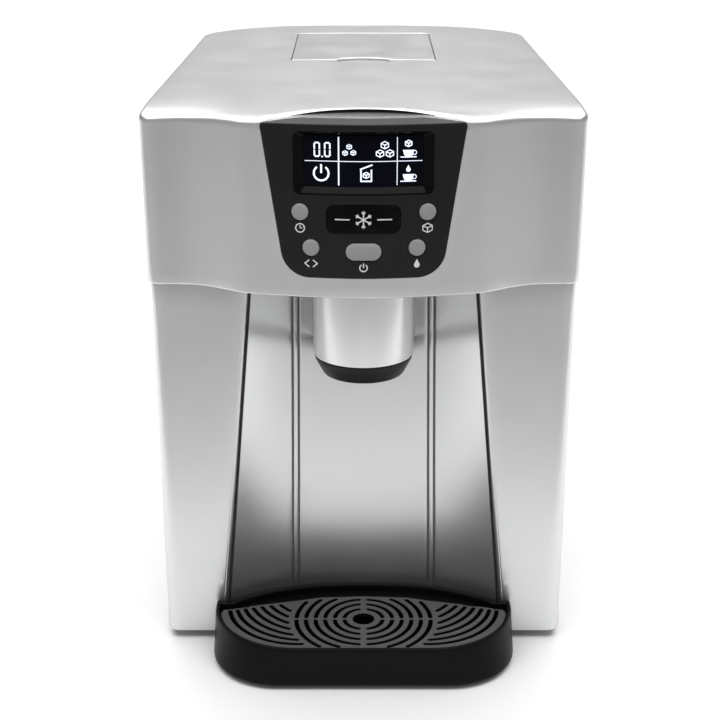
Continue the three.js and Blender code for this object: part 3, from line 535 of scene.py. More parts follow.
def new_material(name):
    m = bpy.data.materials.new(name)
    graph = Graph(m)
    return m, graph, m.node_tree.nodes["Principled BSDF"]


def surface(name, color, rough, metallic, grain, bump, tint, coat=0.0, stretch=(1, 1, 1), wear=0.0,
            specular=0.5, cloud=14):
    """A moulded or painted surface: fine grain, uneven gloss, faint colour clouding and paler worn edges."""
    m, graph, shader = new_material(name)
    clouds = graph.noise(cloud, 4, stretch)
    ramp = graph.add("ValToRGB", {"Fac": clouds})
    for stop, at, tone in zip(ramp.color_ramp.elements, (0.3, 0.7), (1 - tint, 1 + tint)):
        stop.position = at
        stop.color = [min(1, c * tone) for c in color] + [1]
    base = ramp.outputs["Color"]
    if wear:
        pointed = graph.add("NewGeometry", {}).outputs["Pointiness"]
        mix = graph.add("Mix", {})
        mix.data_type = "RGBA"
        graph.put(mix, {"Factor": graph.ranged(pointed, 0, wear, 0.52, 0.6), "A": base,
                        "B": [min(1, c * 1.5 + 0.08) for c in color] + [1]})
        base = mix.outputs["Result"]
    graph.put(shader, {"Base Color": base, "Roughness": graph.ranged(clouds, *rough), "Metallic": metallic,
                       "Specular IOR Level": specular, "Coat Weight": coat, "Coat Roughness": 0.12})
    if bump:
        fine = graph.noise(grain, 2, stretch)
        bumps = graph.add("Bump", {"Strength": bump, "Distance": 0.0002, "Height": fine})
        graph.put(shader, {"Normal": bumps.outputs["Normal"]})
    return m


def glow(name, color, strength):
    m, graph, shader = new_material(name)
    flicker = graph.ranged(graph.noise(260, 2), 0.9 * strength, strength)
    graph.put(shader, {"Base Color": color, "Emission Color": color, "Emission Strength": flicker,
                       "Roughness": 0.4})
    return m


SILVER = surface("silver_paint", (0.69, 0.695, 0.70), (0.28, 0.31), 0.93, 1500, 0.05, 0.015, wear=0.2,
                 cloud=30)
LINER = surface("liner_paint", (0.75, 0.755, 0.76), (0.29, 0.31), 0.95, 1500, 0.04, 0.012, cloud=30)
SIDE = surface("silver_side_paint", (0.66, 0.665, 0.67), (0.30, 0.36), 0.9, 1500, 0.05, 0.03, wear=0.25)
TOP = surface("silver_top_paint", (0.66, 0.665, 0.67), (0.30, 0.32), 0.93, 1500, 0.05, 0.015, wear=0.2,
              cloud=30)
BLACK = surface("black_moulding", (0.0145, 0.0145, 0.0155), (0.36, 0.44), 0, 1700, 0.10, 0.15, specular=0.17)
BLACK_GLOSS = surface("black_gloss", (0.003, 0.003, 0.0035), (0.12, 0.18), 0, 900, 0.01, 0.1, specular=0.07)
TRAY = surface("tray_black", (0.004, 0.004, 0.0045), (0.30, 0.38), 0, 1300, 0.05, 0.12, specular=0.10)
GRILLE = surface("grille_charcoal", (0.088, 0.088, 0.091), (0.36, 0.44), 0, 1300, 0.06, 0.1, specular=0.2)
KEY = surface("key_grey", (0.33, 0.33, 0.335), (0.38, 0.46), 0, 1500, 0.06, 0.05, specular=0.3)
SCREEN = surface("screen_glass", (0.0020, 0.0024, 0.0070), (0.05, 0.09), 0, 500, 0.0, 0.1, specular=0.06)
# A darker copy of the silver, as painted shade: the scoop's floor and the spout's skirts.
SHADED_SILVER = surface("silver_painted_shade", (0.42, 0.42, 0.425), (0.22, 0.28), 0.9, 1500, 0.03, 0.03)
INK = surface("white_print", (0.80, 0.81, 0.82), (0.45, 0.55), 0, 900, 0.02, 0.03)
LIT = glow("display_segments", (0.80, 0.86, 1.0, 1), 0.9)
# Grey for painted shade: the strips in the gaps beside the bay's liner and along the bottoms of its grooves.
SHADE_GREY = surface("painted_shade_grey", (0.16, 0.16, 0.165), (0.5, 0.6), 0.5, 500, 0.03, 0.06, specular=0.2)
# Black for painted shadow: the strip under the scoop's lip, and the walls and underside of the grille's
# slots.
SHADOW_BLACK = surface("painted_shadow_black", (0.004, 0.004, 0.004), (0.5, 0.6), 0, 500, 0.05, 0.1, specular=0.1)
RUBBER = surface("rubber", (0.018, 0.018, 0.018), (0.7, 0.85), 0, 1200, 0.2, 0.2, specular=0.3)


# ---- Head ----
def head_wall():
    """The head's front, side and rear wall, with the panel's opening."""
    wrap = Wrap(head_outline())
    half = wrap.length / 2
    low, high = SEAM, COVER_SEAM - 0.04
    outline = resample([(-half, low), (half, low), (half, high), (-half, high)], 3.5)
    rim = [([(s, z + inset if z == low else z) for s, z in outline], depth)
           for inset, depth in edge(1.3, WALL)]
    hole = []
    for x, z in resample(fascia_outline(2.2), 3):
        s = wrap.where(x)
        hole.append((s if s < half else s - wrap.length, z))
    loops = [(outline, rim), (hole, [(0, 0), (0, WALL)])]
    plate("head_wall", loops, wrap.place, SILVER, "silver_shell", ["head_shell"], spacing=(3.5, 14))


def scoop_arc(x, grow=0.0):
    return SCOOP_Y + math.sqrt((SCOOP_R + grow) ** 2 - x * x)


def cover_outline():
    """The head's outline with the finger scoop let into its front edge."""
    ring = [p for p in resample(head_outline(), 4) if p[1] > -100 or abs(p[0]) > SCOOP_END + 1.5]
    first = ring.index(min((p for p in ring if p[0] > 0 and p[1] < -100), key=lambda p: p[0]))
    xs = [SCOOP_END * (2 * i / 40 - 1) for i in range(41)]
    return ring[first:] + ring[:first] + [(x, max(scoop_arc(x), front_y(x) + 0.3)) for x in xs]


def door_opening():
    """The fill door's opening with the finger dish let into its front side."""
    x, front, back = DOOR_HALF + DOOR_GAP, DOOR_FRONT - DOOR_GAP, DOOR_BACK + DOOR_GAP
    ring = resample([(-x, front), (x, front), (x, back), (-x, back)], 6)
    rest = [p for p in ring if not (abs(p[1] - front) < 1e-6 and abs(p[0]) <= DISH_HALF + 0.5)]
    right = [p for p in rest if p[0] > 0 and abs(p[1] - front) < 1e-6]
    start = rest.index(min(right, key=lambda p: p[0]))
    turns = [math.pi * i / 24 for i in range(25)]
    dish = [(DISH_HALF * math.cos(a), front - DISH_REACH * math.sin(a)) for a in reversed(turns)]
    return dish + rest[start:] + rest[:start]


def top_cover():
    def place(x, y, depth):
        top = crown(x, y)
        return (x, y, top - (top - COVER_SEAM if depth == "floor" else depth))

    rim = edge(EDGE_ROUND, 0, 5)[:-1] + [(0, "floor"), (3, "floor"), (3.2, 3)]
    loops = [(cover_outline(), rim), (door_opening(), [(0.5, 0), (0.15, 0.15), (0, 0.5), (0, 3)])]
    plate("head_cover", loops, place, TOP, "silver_top", ["top_cover"], spacing=(6, 4.5))


def finger_dish():
    """The shallow dish in front of the door's notch, and the floor under the notch."""
    front_side = DOOR_FRONT - DOOR_GAP

    def deep(x):
        return DISH_LIP + 1.5 * math.sqrt(max(0, 1 - abs(x / DISH_HALF) ** 2.4))

    def ahead(a, b):
        x = DISH_HALF * (2 * a - 1)
        reach = DISH_REACH * math.sqrt(max(0, 1 - (x / DISH_HALF) ** 2))
        y = front_side - reach * (1 - b)
        return (x, y, crown(x, y) - DISH_LIP - (deep(x) - DISH_LIP) * math.sin(b * math.pi / 2))

    def under(a, b):
        x = (NOTCH_HALF - 0.4) * (2 * a - 1)
        reach = (NOTCH_DEPTH - 0.2) * math.sqrt(max(0, 1 - (x / NOTCH_HALF) ** 2))
        y = front_side + (reach + DOOR_GAP) * b
        return (x, y, crown(x, y) - deep(x))

    grid("finger_dish", 40, 8, ahead, TOP, "silver_top")
    grid("finger_dish_floor", 40, 4, under, TOP, "silver_top")


def scoop_height(x, y):
    """The scoop's floor rises a little to the rear."""
    t = min(1, max(0, (y - front_y(x) - 1.0) / 20))
    return SCOOP_FLOOR + 2.2 * t ** 0.8


def scoop_floor():
    """The black brow above the panel, painted as the dark reflection where the scoop rolls down to the panel,
    and the scoop's floor behind it in the darker silver of painted shade.
    """
    rows = []
    for i in range(61):
        x = (SCOOP_END - 0.6) * (2 * i / 60 - 1)
        start = front_y(x) + 0.9
        end = max(scoop_arc(x, 1.5), start + 0.8)
        rows.append((x, start, start + min(BROW, (end - start) * 0.6), end))
    brow = [(x, start) for x, start, _, _ in rows] + [(x, mid) for x, _, mid, _ in reversed(rows)]
    floor = [(x, mid + 0.05) for x, _, mid, _ in rows] + [(x, end) for x, _, _, end in reversed(rows)]
    for name, outline, material, slot in (("scoop_brow", brow, BLACK, "black_fascia"),
                                          ("scoop_insert", floor, SHADED_SILVER, "silver_top")):
        plate(name, [(outline, [(0, 0), (0, 1.4)])], lambda x, y, d: (x, y, scoop_height(x, y) - d), material,
              slot, spacing=3)


def scoop_painted_shadow():
    """A black strip painted as the shadow under the cover's lip."""
    def place(a, b):
        x = SCOOP_SHADOW * (2 * a - 1)
        y = scoop_arc(x, -0.15)
        tall = 2.0 * (1 - abs(x / SCOOP_SHADOW) ** 2.2)
        return (x, y - 0.3 * (1 - b), scoop_height(x, y) - 0.3 + (0.3 + tall) * b)

    grid("scoop_painted_shadow", 40, 3, place, SHADOW_BLACK, "black_plastic")


def fill_door():
    x, front, back = DOOR_HALF, DOOR_FRONT, DOOR_BACK
    notch = [(NOTCH_HALF * math.cos(a), front + NOTCH_DEPTH * math.sin(a))
             for a in [math.pi * (1 - i / 20) for i in range(21)]]
    loops = [(resample([(-x, front)] + notch + [(x, front), (x, back), (-x, back)], 5), both(0.5, 3.2))]
    plate("fill_door_panel", loops, lambda u, v, d: (u, v, crown(u, v) - 0.1 - d), SILVER, "silver_top",
          ["fill_door"], "fill_door", spacing=7)


# ---- Controls ----
def fascia_outline(inset=0.0):
    corner = arc(FASCIA_LOW_HALF - FASCIA_CORNER, FASCIA_LOW.z + FASCIA_CORNER, FASCIA_CORNER, -90, -8.4, 12)
    high, r = FASCIA_HIGH.z, FASCIA_TOP_CORNER
    half = [(0, FASCIA_LOW.z)] + corner + [(FASCIA_HALF, high - r - 1)]
    half += arc(FASCIA_HALF - r, high - r, r, 0, 90, 4) + [(0, high)]
    return offset(mirrored(half), inset) if inset else mirrored(half)


def control_fascia():
    face = FASCIA_FACE
    loops = [(resample(fascia_outline(), 3), edge(1.1, 3.4, 5, face)),
             (bezel_ring(0), [(0.3, face), (0.1, face + 0.1), (0, face + 0.4)])]
    for name in KEYS:
        loops.append((key_outline(name, 0.45), [(0.5, face), (0.15, face + 0.15), (0, face + 0.5), (0, 4)]))
    loops.append((badge_outline(0.25), [(0.3, face), (0, face + 0.3), (0, face + 1.2)]))
    plate("fascia_panel", loops, on_front, BLACK, "black_fascia", ["control_fascia"], spacing=5)


def bezel_ring(k):
    """The display's recess at its rim, k = 0, down to the window, k = 1."""
    window = (LENS_LOW.x - 0.1, LENS_HIGH.x + 0.1, LENS_LOW.z - 0.1, LENS_HIGH.z + 0.1)
    x0, x1, z0, z1 = [a + (b - a) * k for a, b in zip(RECESS, window)]
    r = RECESS_CORNER * (1 - k) + WINDOW_CORNER * k
    corners = [arc(x1 - r, z0 + r, r, -90, 0, 6), arc(x1 - r, z1 - r, r, 0, 90, 6),
               arc(x0 + r, z1 - r, r, 90, 180, 6), arc(x0 + r, z0 + r, r, 180, 270, 6)]
    out = []
    for corner, following in zip(corners, corners[1:] + corners[:1]):
        out += corner + split(corner[-1], following[0], 18)[1:]
    return out


def display_bezel():
    """The recess's sloping walls, down to the display's window."""
    steps = 8
    rings = [(bezel_ring(0), FASCIA_FACE + 0.38)]
    for i in range(1, steps + 1):
        rings.append((bezel_ring(i / steps), FASCIA_FACE + 0.4 + 4.0 * (i / steps) ** 1.3))
    rings.append((bezel_ring(1), 6.2))
    verts = [on_front(x, z, depth) for outline, depth in rings for x, z in outline]
    faces = quads(len(rings) - 1, len(rings[0][0]), closed=True)
    make("display_bezel", verts, faces, BLACK_GLOSS, "black_fascia")


def display_window():
    outline = resample(rounded(LENS_LOW.x, LENS_HIGH.x, LENS_LOW.z, LENS_HIGH.z, WINDOW_CORNER), 4)
    plate("display_glass", [(outline, edge(0.3, 2.0, 2, LENS_DEPTH))], on_front, SCREEN, "display_glass",
          ["display_lens"], spacing=3)


def key_box(name):
    """A key cap's corners, inside the flange that holds it behind the panel."""
    low, high = cad(name)
    flange = 1.5 if name == "button_power" else 1.6
    return low + Vector((flange, 0, flange)), high - Vector((flange, 0, flange))


def key_outline(name, gap):
    """The outline of a key cap, or of its hole when gap is over 0."""
    low, high = key_box(name)
    cx, cz = (low.x + high.x) / 2, (low.z + high.z) / 2
    if name != "button_power":
        return circle(cx, cz, KEY_R + gap)
    w, h = (high.x - low.x) / 2 + gap, (high.z - low.z) / 2 + gap
    return rounded(cx - w, cx + w, cz - h, cz + h, h - 0.02, 12)


def keys():
    """Key caps with gently domed faces."""
    dome = [(4.2, -1.75), (2.6, -1.68), (1.5, -1.55), (0.75, -1.3), (0.25, -0.95), (0, -0.5), (0, 5)]
    for name in KEYS:
        plate(name + "_cap", [(key_outline(name, 0), dome)], on_front, KEY, "grey_key", [name], name)


def badge_outline(gap):
    return rounded(BADGE_LOW.x - gap, BADGE_HIGH.x + gap, BADGE_LOW.z - gap, BADGE_HIGH.z + gap, 5, 8)


def badge():
    loops = [(badge_outline(0), edge(0.5, 1.0, 3, BADGE_FACE))]
    plate("badge_tile", loops, on_front, BLACK_GLOSS, "badge_black", ["badge_plate"], spacing=5)


# ---- Printed and lit symbols ----
class Print:
    """Flat symbols drawn as thin raised shapes on the curved front."""

    def __init__(self, depth):
        self.depth = depth
        self.lift = 0.06
        self.verts = []
        self.faces = []

    def shape(self, outline, hole=None):
        rings = [r if area(r) > 0 else r[::-1] for r in (outline, hole) if r]
        _, triples = fill(rings, None)
        flat = [p for ring in rings for p in ring]
        start = len(self.verts)
        n = len(flat)
        self.verts += [on_front(x, z, self.depth - self.lift) for x, z in flat]
        self.verts += [on_front(x, z, self.depth + self.lift) for x, z in flat]
        self.faces += [tuple(start + i for i in t) for t in triples]
        self.faces += [tuple(start + n + i for i in reversed(t)) for t in triples]
        for ring in rings:
            m = len(ring)
            self.faces += [(start + i, start + (i + 1) % m, start + n + (i + 1) % m, start + n + i)
                           for i in range(m)]
            start += m

    def line(self, points, width):
        for start, end in zip(points, points[1:]):
            length = math.dist(start, end)
            dx, dz = (end[0] - start[0]) / length, (end[1] - start[1]) / length
            reach = width * 0.3
            count = max(1, math.ceil(length / 3))
            stops = [-reach + (length + 2 * reach) * i / count for i in range(count + 1)]
            left = [(start[0] + dx * t - dz * width / 2, start[1] + dz * t + dx * width / 2) for t in stops]
            right = [(start[0] + dx * t + dz * width / 2, start[1] + dz * t - dx * width / 2) for t in stops]
            self.shape(left + right[::-1])

    def ring(self, cx, cz, r, width):
        self.shape(circle(cx, cz, r + width / 2, 45), circle(cx, cz, r - width / 2, 45))

    def power(self, cx, cz, r, width):
        """An open ring with an upright bar in its gap."""
        start, end, steps = -235, 55, 32
        outer = arc(cx, cz, r + width / 2, start, end, steps)
        self.shape(outer + arc(cx, cz, r - width / 2, end, start, steps))
        self.line([(cx, cz + r * 0.1), (cx, cz + r * 1.15)], width)

    def drop(self, cx, cz, r):
        self.shape(arc(cx, cz - 0.3 * r, r * 0.75, -200, 20, 16) + [(cx, cz + 1.3 * r)])

    def cube(self, cx, cz, r, width):
        """A cube seen on its corner."""
        h = r * 0.5
        self.line([(cx, cz + r), (cx + r, cz + h), (cx, cz), (cx - r, cz + h), (cx, cz + r)], width)
        under = [(cx - r, cz + h), (cx - r, cz - h), (cx, cz - r), (cx + r, cz - h), (cx + r, cz + h)]
        self.line(under, width)
        self.line([(cx, cz), (cx, cz - r)], width)

    def snow(self, cx, cz, r, width):
        """A snowflake of three bars with forked ends."""
        for k in range(3):
            a = math.pi * k / 3 + math.pi / 6
            dx, dz = math.cos(a) * r, math.sin(a) * r
            self.line([(cx - dx, cz - dz), (cx + dx, cz + dz)], width)
            for s in (-1, 1):
                x, z = cx + s * dx * 0.62, cz + s * dz * 0.62
                for turn in (-0.6, 0.6):
                    b = a + turn + (0 if s > 0 else math.pi)
                    self.line([(x, z), (x + math.cos(b) * r * 0.34, z + math.sin(b) * r * 0.34)], width * 0.8)

    def cup(self, cx, cz, w, h):
        """A filled cup with a handle, on a saucer."""
        self.shape([(cx - w, cz + h)] + arc(cx, cz + h * 0.2, w * 0.86, 200, 340, 10) + [(cx + w, cz + h)])
        self.ring(cx + w * 1.05, cz + h * 0.1, w * 0.36, 0.5)
        self.line([(cx - w * 1.35, cz - h * 1.35), (cx + w * 1.35, cz - h * 1.35)], 0.7)

    def zero(self, x, z, w, h, width):
        """A nought of six bars, as a seven-segment display shows it."""
        trim = width * 0.6
        for level in (z + h, z - h):
            self.line([(x - w + trim, level), (x + w - trim, level)], width)
        for side in (x - w, x + w):
            for low in (z - h, z):
                self.line([(side, low + trim), (side, low + h - trim)], width)

    def make(self, name, material, slot):
        make(name, self.verts, self.faces, material, slot)


def display_symbols():
    """Lit signs in six cells: a clock's digits, small and large ice, cups, power and a full bin."""
    mark = Print(LENS_DEPTH - 0.06)
    x0, x1, z0, z1 = LENS_LOW.x + 0.8, LENS_HIGH.x - 0.8, LENS_LOW.z + 1.2, LENS_HIGH.z - 1.2
    middle = (LENS_LOW.z + LENS_HIGH.z) / 2
    left, right = -15.7, 21.3
    mark.line([(x0, middle), (x1, middle)], 0.42)
    mark.line([(left, z0), (left, z1)], 0.85)
    mark.line([(right, z0), (right, z1)], 0.45)
    upper, lower = (middle + z1) / 2 + 0.3, (middle + z0) / 2
    for x in (-29.4, -22.8):
        mark.zero(x, upper - 0.6, 1.6, 4.3, 0.95)
    mark.shape(circle(-26.1, upper - 5.1, 0.55, 12))
    mark.power((x0 + left) / 2 - 0.4, lower - 0.2, 4.7, 1.15)
    for x, rise in ((-9.0, 1.4), (-11.6, -2.6), (-6.4, -2.4)):
        mark.cube(x, upper + rise, 1.5, 0.5)
    for x, rise in ((13.4, 2.4), (10.4, -2.9), (16.6, -2.9)):
        mark.cube(x, upper + rise, 2.3, 0.6)
    cup_x = (right + x1) / 2 - 0.8
    mark.cup(cup_x, upper - 2.8, 3.6, 1.9)
    mark.cube(cup_x, upper + 3.2, 2.0, 0.7)
    mark.cup(cup_x, lower - 2.8, 3.6, 1.9)
    mark.drop(cup_x, lower + 2.6, 1.9)
    mark.line([(-1.6, lower + 2.2), (-1.6, lower - 5.0), (5.0, lower - 5.0), (5.0, lower + 2.2)], 0.9)
    mark.line([(-2.0, lower + 2.6), (5.4, lower + 5.4)], 0.9)
    mark.cube(1.7, lower - 1.2, 1.9, 0.6)
    mark.make("display_symbols", LIT, "display_glass")


def panel_symbols():
    """Small printed symbols under the keys, in place of words."""
    mark = Print(FASCIA_FACE - 0.02)
    under = {}
    for name in KEYS:
        low, high = key_box(name)
        under[name] = ((low.x + high.x) / 2, low.z - 4.9)
    x, z = under["button_timer"]
    mark.ring(x, z, 2.8, 0.75)
    mark.line([(x, z), (x, z + 1.8)], 0.6)
    mark.line([(x, z), (x + 1.3, z)], 0.6)
    x, z = under["button_ice"]
    mark.cube(x, z, 3.0, 0.7)
    x, z = under["button_select"]
    for s in (-1, 1):
        mark.line([(x + s * 1.4, z + 2.2), (x + s * 4.0, z), (x + s * 1.4, z - 2.2)], 0.8)
    x, z = under["button_water"]
    mark.drop(x, z - 0.2, 2.5)
    x, z = under["button_power"]
    mark.power(x, z + 0.2, 2.4, 0.8)
    mark.make("panel_symbols", INK, "badge_black")


def badge_symbol():
    """A snowflake between two bars."""
    mark = Print(BADGE_FACE - 0.02)
    cx, cz = (BADGE_LOW.x + BADGE_HIGH.x) / 2, (BADGE_LOW.z + BADGE_HIGH.z) / 2
    mark.snow(cx, cz, 5.4, 0.8)
    for s in (-1, 1):
        mark.line([(cx + s * 9, cz), (cx + s * 18, cz)], 0.8)
    mark.make("badge_symbol", INK, "badge_black")


# ---- Lower body ----
def lower_fronts():
    wrap = Wrap(body_outline())
    rim = [(0.9, 0), (0.45, 0.1), (0.12, 0.4), (0, 0.9), (0, 1.8)]
    end = wrap.where(BODY_HALF - FRONT_CORNER) + FRONT_CORNER * math.pi / 2 + 6
    for side, node, place in ((1, "lower_front_right", wrap.place), (-1, "lower_front_left", wrap.mirror)):
        z0, z1 = BODY_BOTTOM, cad(node)[1].z
        corners = [(bay_half(z0) + BAY_EDGE, z0), (end, z0), (end, z1), (bay_half(z1) + BAY_EDGE, z1)]
        plate(node + "_panel", [(resample(corners, 4), rim)], place, SILVER, "silver_shell", [node],
              spacing=(5, 16))
        bay_edge(node, side, z0, z1)


def bay_edge(node, side, z0, z1):
    """The bright chamfer round the bay's mouth, and the return that runs in behind it."""
    profile = [(BAY_EDGE + 0.3, 0.5), (BAY_EDGE - 0.1, 0.25), (BAY_EDGE - 0.5, 0.3), (0.9, 2.7), (0.45, 3.2),
               (0.3, 3.8), (0.3, 7.6)]

    def place(a, b):
        z = z0 + (z1 - z0) * b
        dx, dy = profile[round(a * (len(profile) - 1))]
        return (side * (bay_half(z) + dx), BODY_FRONT + dy, z)

    grid(node + "_edge", len(profile) - 1, 40, place, SILVER, "silver_shell", 50)


def liner_columns(z):
    """The liner's columns at this height, as (x, groove depth)."""
    half = bay_half(z) - LINER_GAP
    out = []
    last = -half
    for start, count in zip((-GROOVES[1], -GROOVES[0], GROOVES[0], GROOVES[1]), (14, 2, 40, 2)):
        x = groove_x(start, z)
        out += [(v, 0) for v in np.linspace(last, x - GROOVE_HALF, count)[:-1]]
        out += [(x + d, 1.6 * math.exp(-(d / 0.7) ** 4)) for d in GROOVE_STEPS]
        last = x + GROOVE_HALF
    return out + [(v, 0) for v in np.linspace(last, half, 14)]


def bay_liner():
    """The concave wall behind the cup space, with two pairs of grooves."""
    low, high = BODY_BOTTOM, SEAM - 0.3
    rows = 40
    verts = []
    for j in range(rows + 1):
        z = low + (high - low) * j / rows
        verts += [(x, bay_y(x / bay_half(z)) + 0.4 + deep, z) for x, deep in liner_columns(z)]
    columns = len(liner_columns(low)) - 1
    make("bay_wall", verts, quads(rows, columns), LINER, "silver_shell", ["recess_liner"], sharp=60)
    # Each side gets strips of painted shade: one in the gap at the chamfer, and one along the bottom of each
    # groove.
    for side, name in ((-1, "left"), (1, "right")):
        bay_gap_painted_shade(name, side, low, high)
        for k, x in enumerate(GROOVES):
            groove_shade_line("bay_groove_shade_" + name + "_" + str(k + 1), side * x, low, high)


def bay_gap_painted_shade(name, side, low, high):
    """A grey strip painted as the shade in the gap between the liner and the bay's chamfer."""
    def place(a, b):
        z = low + (high - low) * b
        return (side * (bay_half(z) + 0.6 - 4 * a), BODY_FRONT + 4.8 + 1.5 * a, z)

    grid("bay_gap_painted_shade_" + name, 2, 24, place, SHADE_GREY, "black_plastic")


def groove_shade_line(name, start, low, high):
    """A grey strip painted as the shade along the bottom of a groove."""
    def place(a, b):
        z = low + (high - low) * b
        x = groove_x(start, z) + 0.9 * (a - 0.5)
        return (x, bay_y(x / bay_half(z)) + 0.95, z)

    grid(name, 2, 24, place, SHADE_GREY, "silver_shell")


def spout():
    """The round shroud with a skirt at each side in the darker silver of painted shade, and the black collar
    at its foot.
    """
    centre = (0, SPOUT_Y, 0)
    r, top, low = SPOUT_R, SHROUD_HIGH.z, SHROUD_LOW.z
    drum = [(r - 3, top), (r, top), (r, low + 1.0), (r - 0.3, low + 0.3), (r - 1.0, low), (r - 2.6, low),
            (r - 3.2, low + 2), (r - 3.2, top)]
    turned("spout_drum", drum, centre, SILVER, "silver_shell", ["spout_shroud"], 128)
    flare = [(20, 0), (42, 0), (40.2, 2.1), (38.4, 5.1), (36.8, 8.9), (35.6, 12.4), (34.7, 16.2)]
    half = [(x, SHROUD_HIGH.y - y) for x, y in flare] + [(34, SPOUT_Y), (20, SPOUT_Y)]
    path = [(0.8, 0), (0.35, 0.15), (0.08, 0.5), (0, 1.0)] + [(0, 1 + 5 * i) for i in range(1, 9)]
    for side, name in ((1, "right"), (-1, "left")):
        outline = [(side * x, y) for x, y in half]
        plate("spout_skirt_" + name, [(outline, path)], lambda x, y, d: (x, y, SKIRT_LOW + d), SHADED_SILVER,
              "silver_shell", sharp=50)
    top, low = COLLAR_HIGH.z, COLLAR_LOW.z
    collar = [(25, top), (33.4, top), (33.6, top - 0.5), (33.2, top - 2.6), (32.2, top - 4.4),
              (28.2, low + 1.2), (27.4, low + 0.3), (26.6, low), (23, low), (22.2, low + 0.8), (25, top)]
    turned("spout_ring", collar, centre, BLACK, "black_plastic", ["spout_collar"], 128)


# ---- Side and rear panels, feet ----
def pill(x0, x1, z0, z1):
    return rounded(x0, x1, z0, z1, (z1 - z0) / 2 - 0.01, 5)


def skin(node, place, start, end, holes):
    """A panel of the lower body between two lengths along its outline, with rounded holes."""
    low, high = cad(node)
    corners = [(start, low.z), (end, low.z), (end, high.z), (start, high.z)]
    loops = [(resample(corners, 4), [(0.7, 0), (0.35, 0.1), (0.1, 0.35), (0, 0.7), (0, SHEET)])]
    for hole in holes:
        loops.append((hole, [(0.9, 0), (0.45, 0.12), (0.12, 0.45), (0, 0.9), (0, SHEET + 1.2)]))
    plate(node + "_panel", loops, place, SIDE, "silver_side", [node], spacing=(5, 18))


def side_and_rear():
    """Panels with vents. The rear one also has the ports of the power inlet and the drain."""
    wrap = Wrap(body_outline())

    def on_side(y):
        x = BODY_HALF + (BODY_REAR_HALF - BODY_HALF) * (y - BODY_FRONT) / (REAR - BODY_FRONT)
        return wrap.nearest(x, y)

    vents = [pill(on_side(y0), on_side(y1), z, z + VENT) for y0, y1 in ((70, 112), (122, 164))
             for z in range(62, 140, 11)]
    for node, place in (("side_panel_right", wrap.place), ("side_panel_left", wrap.mirror)):
        skin(node, place, on_side(cad(node)[0].y), on_side(cad(node)[1].y), vents)
    middle = wrap.nearest(0, REAR)
    vents = [pill(middle - x1, middle - x0, z, z + VENT)
             for x0, x1 in ((FAN_X - 44, FAN_X - 3), (FAN_X + 3, FAN_X + 44)) for z in range(52, 140, 10)]
    ports = [rounded(middle - 105, middle - 75, 40, 62, 2, 5), circle(middle - 30, 22, 8.3)]
    start = on_side(cad("rear_panel")[0].y)
    skin("rear_panel", wrap.place, start, 2 * middle - start, vents + ports)


def feet():
    """Rubber feet: a turned pad with a rounded lower edge and a grip ring."""
    for name in ("front_left", "front_right", "rear_left", "rear_right"):
        low, high = cad("foot_" + name)
        r = (high.x - low.x) / 2
        tall = high.z - low.z
        profile = [(0.01, 0.6), (r * 0.5, 0.6), (r * 0.55, 0), (r - 2.0, 0), (r - 1.0, 0.25), (r - 0.3, 1.0),
                   (r, 2.0), (r, tall - 0.8), (r - 0.6, tall), (0.01, tall)]
        centre = ((low.x + high.x) / 2, (low.y + high.y) / 2, low.z)
        turned("foot_" + name + "_pad", profile, centre, RUBBER, "rubber", ["foot_" + name], 48)


# ---- Drip tray ----
def tray_ring(k, inset=0.0):
    """The tray's outline at the bottom, k = 0, to the rim, k = 1."""
    front = TRAY_LOW.y + TRAY_DRAFT * k
    half = TRAY_HIGH.x - 0.8 * k
    r = TRAY_LOW_R + (TRAY_HIGH_R - TRAY_LOW_R) * k
    corner = arc(half - r, front + r, r, -90, 0, 40)
    points = split((0, front), corner[0], 12) + corner
    points += split((half, front + r), (half, TRAY_BACK), 6)[1:] + [(half, TRAY_BACK)]
    xs = [half - 11.5] + [90 - 3 * i for i in range(31)]
    points += [(x, bay_y(x / bay_half(TRAY_HIGH.z)) - 1.2 if x <= 90 else TRAY_BACK) for x in xs]
    return offset(mirrored(points), inset)


def grille_outline(inset):
    front, half = TRAY_LOW.y + TRAY_DRAFT, TRAY_HIGH.x - 0.8
    points = [(0, front)] + arc(half - TRAY_HIGH_R, front + TRAY_HIGH_R, TRAY_HIGH_R, -90, -8, 30)
    points += [(half - 3, -150)]
    points += [(x, GRILLE_BACK - back) for x, back in ((75, 12.5), (47, 6), (33, 2), (0, 0))]
    return offset(resample(mirrored(points), 4), inset)


def drip_tray():
    """The tray with its seat for the grille, its floor and its underside."""
    base, top = TRAY_LOW.z, TRAY_HIGH.z

    def place(x, y, depth):
        return (x, y, top - depth)

    def level(z, inset):
        k = min(1, max(0, (z - base - 1.2) / (top - base - 2.2)))
        return (tray_ring(k, inset), top - z)

    path = [level(z, inset) for z, inset in (
        (TRAY_SEAT, 3.0), (29.6, 2.9), (30.4, 2.7), (30.85, 2.3), (top, 1.8), (top, 1.3), (30.85, 0.75),
        (30.5, 0.35), (30, 0.1), (28, 0), (24, 0), (20, 0), (16, 0), (12, 0), (8, 0), (5.2, 0), (4, 0.25),
        (3.3, 0.8), (base, 2.2))]
    seat, floor = top - TRAY_SEAT, top - base - 2
    well = [(0, seat), (-0.4, seat + 0.4), (-0.6, seat + 1.2), (-0.8, 20), (-1.2, floor - 2), (-3, floor)]
    under = top - base
    tray = {"material": TRAY, "slot": "tray_black", "body": "drip_tray", "back": False}
    plate("tray_body", [(tray_ring(1, 3.0), path), (grille_outline(6), well)], place, nodes=["drip_tray"],
          sharp=40, **tray)
    plate("tray_floor", [(grille_outline(8.9), [(0, floor), (0.5, floor + 0.3)])], place, **tray)
    plate("tray_underside", [(tray_ring(0, 2.1), [(0, under), (0.5, under - 0.3)])], place, **tray)


